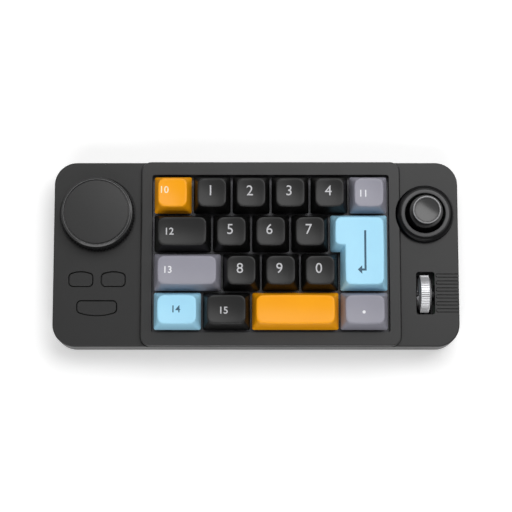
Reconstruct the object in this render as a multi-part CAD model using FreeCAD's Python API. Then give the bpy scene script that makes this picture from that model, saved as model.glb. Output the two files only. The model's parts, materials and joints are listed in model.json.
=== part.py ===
import FreeCAD, Part
import math
import os

# Macro keypad with a dial, three flush buttons, a thumb stick and a scroll wheel.
# Lengths are in millimetres. X runs along the case, Y to its back edge and Z up.
# The origin is on the desk, under the middle of the case.

UP = FreeCAD.Vector(0, 0, 1)
ALONG = FreeCAD.Vector(1, 0, 0)
BACK = FreeCAD.Vector(0, 1, 0)
OVERRUN = 1.0

# Case shells
left_wing_width = 43.0
right_wing_width = 28.7
case_corner_radius = 11.0
wall = 2.0
floor_thickness = 1.8
roof_thickness = 2.0
tray_height = 5.0
case_edge_fillet = 0.7
case_foot_chamfer = 1.5
lip_thickness = 0.9
lip_height = 1.2
lip_clearance = 0.1
seat_clearance = 0.2

# Rubber feet
foot_height = 1.5
foot_radius = 5.0
foot_recess = 0.5
foot_inset_y = 13.5

# Screws that draw the two shells together through the board
screw_inset = 5.0
screw_radius = 1.2
screw_head_radius = 2.3
screw_head_height = 1.3
screw_grip = 4.5
screw_clearance = 0.15
thread_clearance = 0.02
boss_radius = 3.2
boss_plate_gap = 0.775

# Raised bezel round the keys
bezel_side_width = 5.225
bezel_end_width = 6.425
bezel_rise = 3.0
bezel_reveal = 0.2
bezel_seat = 1.0
bezel_seam = 0.5
bezel_setback = 0.2
bezel_corner_radius = 4.6
bezel_edge_fillet = 0.6
bezel_skirt = 1.4
window_gap = 1.25
window_corner_radius = 1.25

# Board and switch plate
board_standoff = 3.5
board_thickness = 1.6
board_clearance = 0.5
plate_thickness = 1.5
plate_margin_x = 2.25
plate_margin_y = 3.0
spacer_radius = 1.8
spacer_inset = 2.3
spacer_shares = (-0.43, 0.0, 0.43)
chip_size = 9.0
chip_height = 1.0
chip_y = 2.0

# Key grid; widths are shares of the pitch, row by row from the back edge
key_pitch = 19.05
key_gap = 0.95
key_row_shares = (
    (("key_escape", 1.0), ("key_1", 1.0), ("key_2", 1.0),
     ("key_3", 1.0), ("key_4", 1.0), ("key_delete", 1.0)),
    (("key_tab", 1.5), ("key_5", 1.0), ("key_6", 1.0), ("key_7", 1.0)),
    (("key_shift", 1.75), ("key_8", 1.0), ("key_9", 1.0), ("key_0", 1.0)),
    (("key_control", 1.25), ("key_alt", 1.25), ("key_space", 2.25), ("key_point", 1.25)),
)
grid_columns_share = 6.0
enter_top_share = 1.5
enter_foot_share = 1.25

# Keycaps
cap_lift = 6.7
cap_height = 7.7
cap_taper = 2.45
cap_corner_radius = 1.9
cap_wall = 1.3
cap_ceiling = 1.5
dish_depth = 0.58
dish_tool_height = 6.0
cap_boss_radius = 2.7
stem_post_length = 4.0
stem_post_width = 1.2
stem_post_height = 3.6
stem_fit = 0.02

# Key switches
switch_body = 13.9
switch_clearance = 0.05
switch_below_plate = 3.5
switch_flange = 15.6
switch_flange_height = 1.0
switch_shoulder = 14.6
switch_crown = 10.6
switch_rise = 6.6
switch_floor = 0.6
slider_length = 7.0
slider_width = 5.5
slider_height = 7.1
slider_fit = 0.05
slider_rise = 0.3
spring_radius = 1.9
spring_clearance = 0.2
spring_pocket = 5.2

# Dial in the left wing
dial_y_share = 0.213
dial_margin = 3.4
dial_height = 8.7
dial_gap = 0.7
dial_recess = 1.2
dial_float = 0.3
dial_wall = 2.2
dial_top_wall = 2.4
dial_knurl_count = 72
dial_knurl_depth = 0.35
dial_foot_band = 0.5
dial_side_draft = 0.85
dial_edge_bevel = 0.2
dial_rim_width = 2.2
dial_cap_height = 0.9
dial_cap_groove = 0.3
dial_hub_radius = 4.8
shaft_radius = 3.0
shaft_flat = 1.5
shaft_top_gap = 0.3
shaft_fit = 0.05
encoder_size = 12.4
encoder_height = 4.6
encoder_floor = 1.0
bushing_radius = 3.6
bushing_clearance = 0.3

# Flush buttons: width, height over the crown of the arched side, and rise of that side
button_gap = 0.45
button_corner_radius = 1.9
button_proud = 0.2
button_edge_chamfer = 0.3
button_flange = 0.8
button_flange_height = 1.0
button_flange_clearance = 0.1
small_button_length = 11.4
small_button_depth = 6.95
small_button_arch = 1.4
small_button_web = 4.4
small_button_y_share = -0.136
wide_button_length = 19.15
wide_button_depth = 7.0
wide_button_arch = 1.8
wide_button_y_share = -0.293
tact_size = 6.0
tact_height = 3.2
tact_well = 1.4
plunger_radius = 1.6
plunger_rise = 0.8
plunger_depth = 0.7
plunger_fit = 0.05

# Thumb stick in the right wing; its collar bites into the bezel's side
stick_y_share = 0.215
stick_pivot_lift = 4.6
collar_margin = 2.15
collar_bite = 1.95
collar_rise = 3.4
collar_notch_gap = 0.25
collar_skirt = 1.0
collar_skirt_drop = 0.3
collar_edge_height = 1.2
collar_shoulder_width = 2.5
collar_lip_width = 1.9
collar_lip_height = 4.5
collar_lip_land = 0.9
collar_lip_bevel = 0.3
dome_overlap = 0.75
dome_wall = 1.2
dome_edge_angle = 62.5
dome_gap = 0.6
dome_neck_radius = 3.4
dome_neck_height = 1.9
stick_radius = 2.0
stick_tail = 2.1
stick_fit = 0.02
stick_nose_gap = 0.3
grip_flange_gap = 1.75
grip_flange_height = 1.4
grip_flange_edge = 0.5
grip_waist_depth = 2.1
grip_waist_height = 2.0
grip_rim_setback = 1.3
grip_rim_width = 1.15
grip_dish_depth = 1.1
grip_height = 5.5
grip_bevel = 0.35
gimbal_size = 12.6
gimbal_wall = 1.0
gimbal_floor = 0.8
gimbal_rim = 1.4
yoke_clearance = 0.5
yoke_bar = 1.6
yoke_height = 2.6
yoke_pin_radius = 1.0
yoke_pin_gap = 0.1
stick_pin_radius = 0.9
pin_fit = 0.05
sensor_length = 3.0
sensor_width = 9.0
sensor_height = 4.2

# Scroll wheel in line with the stick, and the ribs beside it
wheel_y_share = -0.2115
wheel_radius = 9.2
wheel_floor_gap = 0.3
wheel_width = 5.9
wheel_tread = 4.2
wheel_rib_count = 52
wheel_rib_depth = 0.4
wheel_rib_gap_share = 0.4
wheel_side_drop = 0.9
wheel_hollow_radius = 5.6
wheel_hollow_depth = 0.8
wheel_slot_gap = 1.3
wheel_slot_width = 9.1
wheel_slot_radius = 1.4
axle_radius = 1.0
axle_fit = 0.05
axle_left = 4.7
axle_right = 8.0
wheel_board_gap_x = 0.55
wheel_board_gap_y = 0.4
ear_thickness = 1.4
ear_radius = 2.2
bracket_base_height = 1.2
bracket_base_margin = 1.8
wheel_encoder_gap = 0.2
wheel_encoder_length = 4.0
wheel_encoder_width = 9.0
wheel_encoder_height = 6.6
groove_count = 6
groove_pitch = 3.42
groove_width = 2.1
groove_depth = 0.9
groove_line = 0.5
groove_start = 5.9
wheel_slot_shift = 0.4

# Cable inlet in the back wall
inlet_pitch_share = -1.5
inlet_width = 8.94
inlet_height = 3.26
inlet_depth = 7.0
inlet_wall = 0.3
inlet_setback = 0.3
inlet_clearance = 0.35
inlet_tongue_width = 6.6
inlet_tongue_height = 0.7
inlet_tongue_setback = 1.0
inlet_back_wall = 1.0

# Places and sizes that follow from the values above
# The case is as long as its bezel and both wings, and as deep as its bezel
grid_length = grid_columns_share * key_pitch
grid_depth = len(key_row_shares) * key_pitch
window_length = grid_length - key_gap + 2 * window_gap
window_depth = grid_depth - key_gap + 2 * window_gap
bezel_length = window_length + 2 * bezel_side_width
bezel_depth = window_depth + 2 * bezel_end_width
case_length = left_wing_width + bezel_length + right_wing_width
case_depth = bezel_depth + 2 * bezel_setback
bezel_x = (left_wing_width - right_wing_width) / 2
grid_left = bezel_x - grid_length / 2
left_wing_x = (left_wing_width - case_length) / 2
plate_length = window_length + 2 * plate_margin_x
plate_depth = window_depth + 2 * plate_margin_y
screw_x = case_length / 2 - wall - screw_inset
screw_y = case_depth / 2 - wall - screw_inset
middle_reach = plate_length / 2 + boss_plate_gap + boss_radius
screw_columns = (-screw_x, bezel_x - middle_reach, bezel_x + middle_reach, screw_x)
screw_places = [(x, y) for x in screw_columns for y in (-screw_y, screw_y)]
inlet_x = bezel_x + inlet_pitch_share * key_pitch
dial_x = left_wing_x
dial_y = dial_y_share * case_depth
dial_radius = left_wing_width / 2 - dial_margin
dial_cap_radius = dial_radius - dial_rim_width
small_button_y = small_button_y_share * case_depth
wide_button_y = wide_button_y_share * case_depth
collar_radius = (right_wing_width - collar_margin + collar_bite) / 2
collar_lip_radius = collar_radius - collar_shoulder_width
collar_mouth_radius = collar_lip_radius - collar_lip_width
stick_x = case_length / 2 - collar_margin - collar_radius
stick_y = stick_y_share * case_depth
dome_radius = collar_mouth_radius + dome_overlap
dome_cavity = dome_radius + dome_gap
grip_flange_radius = collar_mouth_radius - grip_flange_gap
grip_waist_radius = grip_flange_radius - grip_waist_depth
grip_rim_radius = grip_flange_radius - grip_rim_setback
grip_dish_radius = grip_rim_radius - grip_rim_width
slot_x = stick_x
wheel_x = slot_x - wheel_slot_shift
wheel_y = wheel_y_share * case_depth
skirt_radius = dome_cavity + collar_skirt
yoke_size = gimbal_size - 2 * (gimbal_wall + yoke_clearance)
yoke_window = yoke_size - 2 * yoke_bar
switch_hole = switch_body + 2 * switch_clearance
wheel_slot_length = 2 * (wheel_radius + wheel_slot_gap)
board_slot_x = wheel_width + 2 * wheel_board_gap_x
board_slot_y = 2 * (wheel_radius + wheel_board_gap_y)

# Levels, worked out upwards from the desk
tray_z = foot_height
floor_z = tray_z + floor_thickness
parting_z = tray_z + tray_height
board_bottom_z = floor_z + board_standoff
board_z = board_bottom_z + board_thickness
plate_bottom_z = board_z + switch_below_plate
plate_z = plate_bottom_z + plate_thickness
cap_z = plate_z + cap_lift
dish_z = cap_z + cap_height
bezel_z = cap_z + bezel_reveal
wing_z = bezel_z - bezel_rise
bezel_seat_z = wing_z - bezel_seat
roof_z = wing_z - roof_thickness
switch_top_z = plate_z + switch_rise
slider_z = switch_top_z + slider_rise
switch_floor_z = board_z + switch_floor
dial_floor_z = wing_z - dial_recess
dial_z = wing_z + dial_height
dial_ceiling_z = dial_z - dial_top_wall
pivot_z = board_z + stick_pivot_lift
dome_z = pivot_z + dome_radius
grip_z = dome_z + dome_neck_height
wheel_axis_z = floor_z + wheel_floor_gap + wheel_radius


def at(x, y, z):
    return FreeCAD.Vector(x, y, z)


def block(x, y, z, length, depth, height):
    """Box centred on x and y, with its underside at z."""
    return Part.makeBox(length, depth, height, at(x - length / 2, y - depth / 2, z))


def disc(x, y, z, radius, height):
    """Upright cylinder with its underside at z."""
    return Part.makeCylinder(radius, height, at(x, y, z), UP)


def frustum(x, y, z, length, depth, height, inset):
    """Block centred on x and y whose four sides draw in by inset towards the top."""
    half_x = length / 2
    half_y = depth / 2
    body = Part.makeWedge(
        -half_x, 0, -half_y, inset - half_y, inset - half_x,
        half_x, height, half_y, half_y - inset, half_x - inset,
    )
    body.rotate(at(0, 0, 0), ALONG, 90)
    body.translate(at(x, y, z))
    return body


def joined(shapes):
    """One solid from shapes that meet or overlap."""
    body = shapes[0]
    for shape in shapes[1:]:
        body = body.fuse(shape)
    return body.removeSplitter()


def without(body, cuts):
    """The body with every shape in cuts taken away."""
    for cut in cuts:
        body = body.cut(cut)
    return body


def corner_outline(corners, z):
    """Closed outline through corners given as x, y and radius, anticlockwise, with each corner rounded."""
    starts = []
    arcs = []
    count = len(corners)
    for index, (x, y, radius) in enumerate(corners):
        here = at(x, y, z)
        before = corners[index - 1]
        after = corners[(index + 1) % count]
        back = (at(before[0], before[1], z) - here).normalize()
        ahead = (at(after[0], after[1], z) - here).normalize()
        half_turn = back.getAngle(ahead) / 2
        reach = radius / math.tan(half_turn)
        inward = (back + ahead).normalize()
        middle = here + inward * (radius / math.sin(half_turn) - radius)
        start = here + back * reach
        end = here + ahead * reach
        starts.append((start, end))
        arcs.append(Part.Arc(start, middle, end).toShape())
    edges = []
    for index in range(count):
        edges.append(arcs[index])
        following = starts[(index + 1) % count][0]
        edges.append(Part.LineSegment(starts[index][1], following).toShape())
    return Part.Wire(edges)


def rectangle_corners(x, y, length, depth, radius):
    """Corners of a rectangle centred on x and y."""
    half_x = length / 2
    half_y = depth / 2
    return [
        (x + half_x, y + half_y, radius),
        (x - half_x, y + half_y, radius),
        (x - half_x, y - half_y, radius),
        (x + half_x, y - half_y, radius),
    ]


def prism(outline, height):
    """Solid raised from a flat outline."""
    return Part.Face(outline).extrude(UP * height)


def slab(x, y, z, length, depth, height, radius):
    """Upright prism on a rounded rectangle."""
    return prism(corner_outline(rectangle_corners(x, y, length, depth, radius), z), height)


def turned(x, y, points):
    """Solid of revolution about an upright axis; points are radius and height pairs."""
    corners = [at(x + radius, y, z) for radius, z in points]
    profile = Part.makePolygon(corners + [corners[0]])
    return Part.Face(profile).revolve(at(x, y, 0), UP, 360)


def edges_where(shape, test):
    """Edges whose bounding box passes the test."""
    return [edge for edge in shape.Edges if test(edge.BoundBox)]


def level_edges(shape, z):
    """Edges that lie flat at height z."""
    near = OVERRUN / 100
    return edges_where(shape, lambda box: abs(box.ZMin - z) < near and abs(box.ZMax - z) < near)


def upright_edges(shape, height):
    """Edges that run the whole height of a body."""
    return edges_where(shape, lambda box: box.ZLength > height - OVERRUN / 100)


def star_outline(radius, depth, count, land_share):
    """Points of a ribbed rim about the origin, each rib flat over land_share of its pitch."""
    points = []
    step = 2 * math.pi / count
    for index in range(count):
        middle = index * step
        half_land = step * land_share / 2
        half_root = step * (1 - land_share) / 4
        for angle, reach in (
            (middle - half_land, radius),
            (middle + half_land, radius),
            (middle + half_land + half_root, radius - depth),
            (middle + step - half_land - half_root, radius - depth),
        ):
            points.append((reach * math.cos(angle), reach * math.sin(angle)))
    return points


# Case

def case_outline_slab(inset, z, height):
    """Prism on the case's outline, drawn in by inset."""
    radius = case_corner_radius - inset
    return slab(0, 0, z, case_length - 2 * inset, case_depth - 2 * inset, height, radius)


def make_bottom_case():
    """Lower shell: tray, screw bosses and the lip that locates the upper shell."""
    tray = case_outline_slab(0, tray_z, tray_height)
    tray = tray.makeChamfer(case_foot_chamfer, level_edges(tray, tray_z))
    lip_inset = wall - lip_thickness
    lip = case_outline_slab(lip_inset, parting_z, lip_height)
    shell = joined([tray, lip])
    hollow_height = parting_z + lip_height + OVERRUN - floor_z
    shell = shell.cut(case_outline_slab(wall, floor_z, hollow_height))
    bosses = [disc(x, y, floor_z, boss_radius, board_standoff) for x, y in screw_places]
    shell = joined([shell] + bosses)
    cuts = []
    head_room = screw_head_radius + screw_clearance
    for x, y in screw_places:
        cuts.append(disc(x, y, tray_z - OVERRUN, head_room, screw_head_height + OVERRUN))
        cuts.append(disc(x, y, tray_z, screw_radius + screw_clearance, board_bottom_z))
    for x, y in foot_places():
        cuts.append(disc(x, y, tray_z - OVERRUN, foot_radius, foot_recess + OVERRUN))
    return without(shell, cuts)


def foot_places():
    """Centres of the four feet, each midway between two columns of screws."""
    y = case_depth / 2 - foot_inset_y
    columns = (screw_columns[:2], screw_columns[2:])
    return [(sum(pair) / 2, end * y) for pair in columns for end in (-1, 1)]


def make_rubber_feet():
    return [disc(x, y, 0, foot_radius, foot_height + foot_recess) for x, y in foot_places()]


def make_case_screws():
    """Pan head screws driven up from the underside."""
    screws = []
    for x, y in screw_places:
        head = disc(x, y, tray_z, screw_head_radius, screw_head_height)
        shank_z = tray_z + screw_head_height
        shank = disc(x, y, shank_z, screw_radius, board_z + screw_grip - shank_z)
        screws.append(joined([head, shank]))
    return screws


def rib_bar(y, width):
    """Bar with a round nose that runs out through the end wall beside the wheel."""
    start = slot_x + groove_start
    length = case_length / 2 + OVERRUN - start
    bar = block(start + length / 2, y, wing_z - groove_depth, length, width, groove_depth + OVERRUN)
    nose = disc(start, y, wing_z - groove_depth, width / 2, groove_depth + OVERRUN)
    return joined([bar, nose])


def wing_grooves():
    """Cutters for the narrow grooves that outline the ribs beside the wheel."""
    cutters = []
    for index in range(groove_count):
        y = wheel_y + (index - (groove_count - 1) / 2) * groove_pitch
        cutters.append(rib_bar(y, groove_width).cut(rib_bar(y, groove_width - 2 * groove_line)))
    return cutters


def make_top_case():
    """Upper shell: two wings at one level, with the openings for everything that comes through."""
    height = wing_z - parting_z
    shell = case_outline_slab(0, parting_z, height)
    shell = shell.makeFillet(case_edge_fillet, level_edges(shell, wing_z))
    cuts = [case_outline_slab(wall, parting_z - OVERRUN, roof_z - parting_z + OVERRUN)]
    groove_inset = wall - lip_thickness - lip_clearance
    cuts.append(case_outline_slab(groove_inset, parting_z - OVERRUN, lip_height + lip_clearance + OVERRUN))
    shell = without(shell, cuts)
    boss_height = roof_z - board_z + roof_thickness / 2
    bosses = [disc(x, y, board_z, boss_radius, boss_height) for x, y in screw_places]
    shell = joined([shell] + bosses)
    through = roof_thickness + 2 * OVERRUN
    under = roof_z - OVERRUN
    seat = bezel_skirt + seat_clearance
    pocket = slab(
        bezel_x, 0, bezel_seat_z, bezel_length + 2 * bezel_seam, bezel_depth + 2 * bezel_seam,
        bezel_seat + OVERRUN, bezel_corner_radius + bezel_seam,
    )
    collar_seat = disc(stick_x, stick_y, bezel_seat_z, collar_radius, bezel_seat + 2 * OVERRUN)
    cuts = [
        pocket.cut(collar_seat),
        slab(
            bezel_x, 0, under, window_length + 2 * seat, window_depth + 2 * seat, through,
            window_corner_radius + seat,
        ),
        disc(dial_x, dial_y, dial_floor_z, dial_radius + dial_gap, dial_recess + OVERRUN),
        disc(dial_x, dial_y, under, bushing_radius + bushing_clearance, through),
        disc(stick_x, stick_y, under, skirt_radius + seat_clearance, through),
        slab(slot_x, wheel_y, under, wheel_slot_width, wheel_slot_length, through, wheel_slot_radius),
    ]
    for place in button_places():
        cuts.append(button_prism(place, button_gap, under, through))
    for x, y in screw_places:
        cuts.append(disc(x, y, board_z - OVERRUN, screw_radius + thread_clearance, screw_grip + 2 * OVERRUN))
    cuts.extend(wing_grooves())
    cuts.append(inlet_opening())
    return without(shell, cuts)


def make_key_bezel():
    """Raised frame that drops into the upper shell and holds the switch plate down."""
    frame = slab(
        bezel_x, 0, bezel_seat_z, bezel_length, bezel_depth, bezel_z - bezel_seat_z, bezel_corner_radius)
    frame = frame.makeFillet(bezel_edge_fillet, level_edges(frame, bezel_z))
    skirt = slab(
        bezel_x, 0, plate_z, window_length + 2 * bezel_skirt, window_depth + 2 * bezel_skirt,
        wing_z - plate_z + bezel_rise / 2, window_corner_radius + bezel_skirt,
    )
    frame = joined([frame, skirt])
    window_height = bezel_z - plate_z + 2 * OVERRUN
    window = slab(
        bezel_x, 0, plate_z - OVERRUN, window_length, window_depth, window_height, window_corner_radius,
    )
    notch = disc(
        stick_x, stick_y, bezel_seat_z - OVERRUN, collar_radius + collar_notch_gap,
        bezel_z - bezel_seat_z + 2 * OVERRUN,
    )
    return without(frame, [window, notch])


# Board and plate

def make_main_board():
    """Board that fills the case, with a slot for the wheel and a hole at each screw."""
    board = case_outline_slab(wall + board_clearance, board_bottom_z, board_thickness)
    through = board_thickness + 2 * OVERRUN
    under = board_bottom_z - OVERRUN
    cuts = [block(wheel_x, wheel_y, under, board_slot_x, board_slot_y, through)]
    for x, y in screw_places:
        cuts.append(disc(x, y, under, screw_radius + 2 * screw_clearance, through))
    return without(board, cuts)


def make_controller_chip():
    return block(dial_x, chip_y, board_z, chip_size, chip_size, chip_height)


def make_switch_plate():
    """Thin plate with a square hole for each switch."""
    plate = block(bezel_x, 0, plate_bottom_z, plate_length, plate_depth, plate_thickness)
    through = plate_thickness + 2 * OVERRUN
    holes = [
        block(x, y, plate_bottom_z - OVERRUN, switch_hole, switch_hole, through)
        for x, y in switch_places()
    ]
    return without(plate, holes)


def make_plate_spacers():
    """Round spacers between the board and the plate, under the bezel's skirt."""
    spacers = []
    y = plate_depth / 2 - spacer_inset
    for share in spacer_shares:
        for side in (-1, 1):
            x = bezel_x + share * plate_length
            spacers.append(disc(x, side * y, board_z, spacer_radius, switch_below_plate))
    return spacers


# Keys

def key_places():
    """Name, centre and width of every key on one row, worked out from the row widths."""
    places = []
    for row, keys in enumerate(key_row_shares):
        y = grid_depth / 2 - (row + 1 / 2) * key_pitch
        left = grid_left
        for name, share in keys:
            width = share * key_pitch
            places.append((name, left + width / 2, y, width))
            left += width
    return places


def enter_place():
    """Centre of the tall key's switch, on the line between the second and third rows."""
    x = grid_left + grid_length - enter_foot_share * key_pitch / 2
    return x, grid_depth / 2 - 2 * key_pitch


def switch_places():
    places = [(x, y) for name, x, y, width in key_places()]
    places.append(enter_place())
    return places


def dish_cutter(x, y, half_x, half_y):
    """Body whose underside is the shallow bowl of a keycap, its low point at the dish level."""
    bend_x = (half_x ** 2 + dish_depth ** 2) / (2 * dish_depth)
    bend_y = (half_y ** 2 + dish_depth ** 2) / (2 * dish_depth)
    reach_y = half_y + cap_taper
    rise = bend_y - math.sqrt(bend_y ** 2 - reach_y ** 2)
    low = at(x, y, dish_z)
    left = at(x, y - reach_y, dish_z + rise)
    right = at(x, y + reach_y, dish_z + rise)
    top_left = at(x, y - reach_y, dish_z + dish_tool_height)
    top_right = at(x, y + reach_y, dish_z + dish_tool_height)
    edges = [
        Part.Arc(left, low, right).toShape(),
        Part.LineSegment(right, top_right).toShape(),
        Part.LineSegment(top_right, top_left).toShape(),
        Part.LineSegment(top_left, left).toShape(),
    ]
    face = Part.Face(Part.Wire(edges))
    swing = math.degrees(math.asin((half_x + cap_taper) / bend_x))
    centre = at(x, y, dish_z + bend_x)
    face.rotate(centre, BACK, -swing)
    return face.revolve(centre, BACK, 2 * swing)


def stem_boss(x, y):
    """Round boss under the cap, with the cross socket that takes the switch's post."""
    boss = disc(x, y, slider_z, cap_boss_radius, dish_z - cap_ceiling / 2 - slider_z)
    length = stem_post_length + 2 * stem_fit
    width = stem_post_width + 2 * stem_fit
    depth = stem_post_height + stem_fit + OVERRUN
    for size_x, size_y in ((length, width), (width, length)):
        boss = boss.cut(block(x, y, slider_z - OVERRUN, size_x, size_y, depth))
    return boss


def make_slider(x, y):
    """Moving part of the switch: a hollow block with a cross post on top."""
    body = block(x, y, slider_z - slider_height, slider_length, slider_width, slider_height)
    room = 2 * (spring_radius + spring_clearance)
    pocket = block(x, y, slider_z - slider_height - OVERRUN, room, room, spring_pocket + OVERRUN)
    post_z = slider_z - stem_post_width
    post_height = stem_post_height + stem_post_width
    posts = [
        block(x, y, post_z, stem_post_length, stem_post_width, post_height),
        block(x, y, post_z, stem_post_width, stem_post_length, post_height),
    ]
    return joined([body] + posts).cut(pocket)


def tapered(cell, margin, z, height, run):
    """Body over one cell, clear of its edges by margin; run is the height of its top above the cap's foot."""
    x, y, width, depth = cell
    inset = cap_taper * run / (cap_height + dish_depth)
    return frustum(x, y, z, width - 2 * margin, depth - 2 * margin, height, inset)


def cap_blank(cell, peak):
    """Solid over one cell with its four upright corners rounded."""
    blank = tapered(cell, key_gap / 2, cap_z, peak, peak)
    return blank.makeFillet(cap_corner_radius, upright_edges(blank, peak))


def make_cap(x, y, cells):
    """Keycap over one cell or two that overlap: drawn-in sides, a dished top, and hollow underneath."""
    peak = cap_height + 4 * dish_depth
    blank = joined([cap_blank(cell, peak) for cell in cells])
    rim = key_gap / 2 + cap_taper
    half_x = max(width for _, _, width, _ in cells) / 2 - rim
    half_y = max(depth for _, _, _, depth in cells) / 2 - rim
    body = blank.cut(dish_cutter(x, y, half_x, half_y))
    height = cap_height - cap_ceiling
    cavity = joined([
        tapered(cell, key_gap / 2 + cap_wall, cap_z - OVERRUN, height + OVERRUN, height) for cell in cells
    ])
    return joined([body.cut(cavity), stem_boss(x, y)])


def enter_cells():
    """The two overlapping cells of the tall stepped key: its wide top row and its full height."""
    right = grid_left + grid_length
    head = enter_top_share * key_pitch
    foot = enter_foot_share * key_pitch
    top = grid_depth / 2 - key_pitch
    return [
        (right - head / 2, top - key_pitch / 2, head, key_pitch),
        (right - foot / 2, top - key_pitch, foot, 2 * key_pitch),
    ]


def make_switch_housing(x, y):
    """Fixed part of a key switch, from the board up through the plate."""
    lower = block(x, y, board_z, switch_body, switch_body, plate_z - board_z)
    flange = block(x, y, plate_z, switch_flange, switch_flange, switch_flange_height)
    shoulder_z = plate_z + switch_flange_height
    draw_in = (switch_shoulder - switch_crown) / 2
    rise = switch_top_z - shoulder_z
    upper = frustum(x, y, shoulder_z, switch_shoulder, switch_shoulder, rise, draw_in)
    body = joined([lower, flange, upper])
    bore_length = slider_length + 2 * slider_fit
    bore_width = slider_width + 2 * slider_fit
    return body.cut(block(x, y, switch_floor_z, bore_length, bore_width, switch_top_z))


def make_key_spring(x, y):
    """Return spring, drawn as the cylinder that its coils fill."""
    top_z = slider_z - slider_height + spring_pocket
    return disc(x, y, switch_floor_z, spring_radius, top_z - switch_floor_z)


# Dial

def shaft_solid(radius, bottom_z, top_z, flat_z):
    """Round shaft with a flat on one side from flat_z upwards."""
    shaft = disc(dial_x, dial_y, bottom_z, radius, top_z - bottom_z)
    flat = Part.makeBox(
        radius, 2 * radius + 2 * OVERRUN, top_z - flat_z + OVERRUN,
        at(dial_x + shaft_flat + radius - shaft_radius, dial_y - radius - OVERRUN, flat_z),
    )
    return shaft.cut(flat)


def shaft_top_z():
    return dial_ceiling_z - shaft_top_gap


def make_dial_shaft():
    return shaft_solid(shaft_radius, board_z + encoder_floor, shaft_top_z(), dial_floor_z + dial_float)


def make_dial_encoder():
    """Rotary encoder on the board, with the bushing that carries the shaft."""
    body = block(dial_x, dial_y, board_z, encoder_size, encoder_size, encoder_height)
    bushing = disc(dial_x, dial_y, board_z, bushing_radius, dial_floor_z - board_z)
    bore = disc(dial_x, dial_y, board_z + encoder_floor, shaft_radius + shaft_fit, dial_floor_z)
    return joined([body, bushing]).cut(bore)


def make_dial_knob():
    """Hollow knob with a knurled side that leans in towards the top, and a hub on the shaft."""
    foot_z = dial_floor_z + dial_float
    band_z = foot_z + dial_foot_band
    edge_z = dial_z - dial_edge_bevel
    root = dial_radius - dial_knurl_depth * 3 / 2
    top_root = root - dial_side_draft
    core = turned(dial_x, dial_y, [
        (0, foot_z), (root, foot_z), (root, band_z), (top_root, edge_z),
        (top_root - dial_edge_bevel, dial_z), (0, dial_z),
    ])
    rims = []
    for radius, z in ((dial_radius, band_z), (dial_radius - dial_side_draft, edge_z)):
        rim = [at(dial_x + px, dial_y + py, z)
               for px, py in star_outline(radius, dial_knurl_depth, dial_knurl_count, 1 / 3)]
        rims.append(Part.makePolygon(rim + [rim[0]]))
    body = joined([core, Part.makeLoft(rims, True, True)])
    inner = dial_radius - dial_wall
    hollow = disc(dial_x, dial_y, foot_z - OVERRUN, inner, dial_ceiling_z - foot_z + OVERRUN)
    hub = disc(dial_x, dial_y, foot_z - OVERRUN, dial_hub_radius, dial_z - foot_z)
    seat = disc(dial_x, dial_y, dial_z - dial_cap_height, dial_cap_radius + dial_cap_groove,
                dial_cap_height + OVERRUN)
    bore = shaft_solid(shaft_radius + thread_clearance, foot_z - OVERRUN, shaft_top_z() + thread_clearance,
                       foot_z - OVERRUN)
    return without(body, [hollow.cut(hub), seat, bore])


def make_dial_cap():
    return disc(dial_x, dial_y, dial_z - dial_cap_height, dial_cap_radius, dial_cap_height)


# Flush buttons

def button_places():
    """Centre, length, depth and arch of each button; the wide one arches to the front."""
    small = (small_button_length, small_button_depth, small_button_arch)
    reach = (small_button_length + small_button_web) / 2
    return [
        (left_wing_x - reach, small_button_y) + small,
        (left_wing_x + reach, small_button_y) + small,
        (left_wing_x, wide_button_y, wide_button_length, wide_button_depth, -wide_button_arch),
    ]


def button_prism(place, grow, z, height):
    """Prism on a button's outline, grown all round: three straight sides and an arched one."""
    x, y, length, depth, arch = place
    side = 1 if arch > 0 else -1
    half_x = length / 2 + grow
    half_y = depth / 2 + grow
    flat_y = y - side * half_y
    crown_y = y + side * half_y
    spring_y = crown_y - arch
    first = at(x - half_x, flat_y, z)
    second = at(x + half_x, flat_y, z)
    third = at(x + half_x, spring_y, z)
    fourth = at(x - half_x, spring_y, z)
    edges = [
        Part.LineSegment(first, second).toShape(),
        Part.LineSegment(second, third).toShape(),
        Part.Arc(third, at(x, crown_y, z), fourth).toShape(),
        Part.LineSegment(fourth, first).toShape(),
    ]
    body = prism(Part.Wire(edges), height)
    return body.makeFillet(button_corner_radius + grow, upright_edges(body, height))


def make_button(place):
    """Button cap with a retaining flange under the roof and a stub on its switch."""
    x, y = place[0], place[1]
    flange_z = roof_z - button_flange_clearance - button_flange_height
    top_z = wing_z + button_proud
    cap = button_prism(place, 0, flange_z, top_z - flange_z)
    cap = cap.makeChamfer(button_edge_chamfer, level_edges(cap, top_z))
    flange = button_prism(place, button_gap + button_flange, flange_z, button_flange_height)
    stub_z = board_z + tact_height + plunger_rise
    stub = disc(x, y, stub_z, plunger_radius, flange_z + button_flange_height / 2 - stub_z)
    return joined([flange, cap, stub])


def make_plunger(place):
    """Button switch's own plunger, under the stub."""
    x, y = place[0], place[1]
    bottom_z = board_z + tact_height - plunger_depth
    return disc(x, y, bottom_z, plunger_radius, plunger_depth + plunger_rise)


def make_button_switches():
    switches = []
    for place in button_places():
        x, y = place[0], place[1]
        body = block(x, y, board_z, tact_size, tact_size, tact_height)
        well_z = board_z + tact_height - tact_well
        well = disc(x, y, well_z, plunger_radius + plunger_fit, tact_well + OVERRUN)
        switches.append(body.cut(well))
    return switches


# Thumb stick

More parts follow.
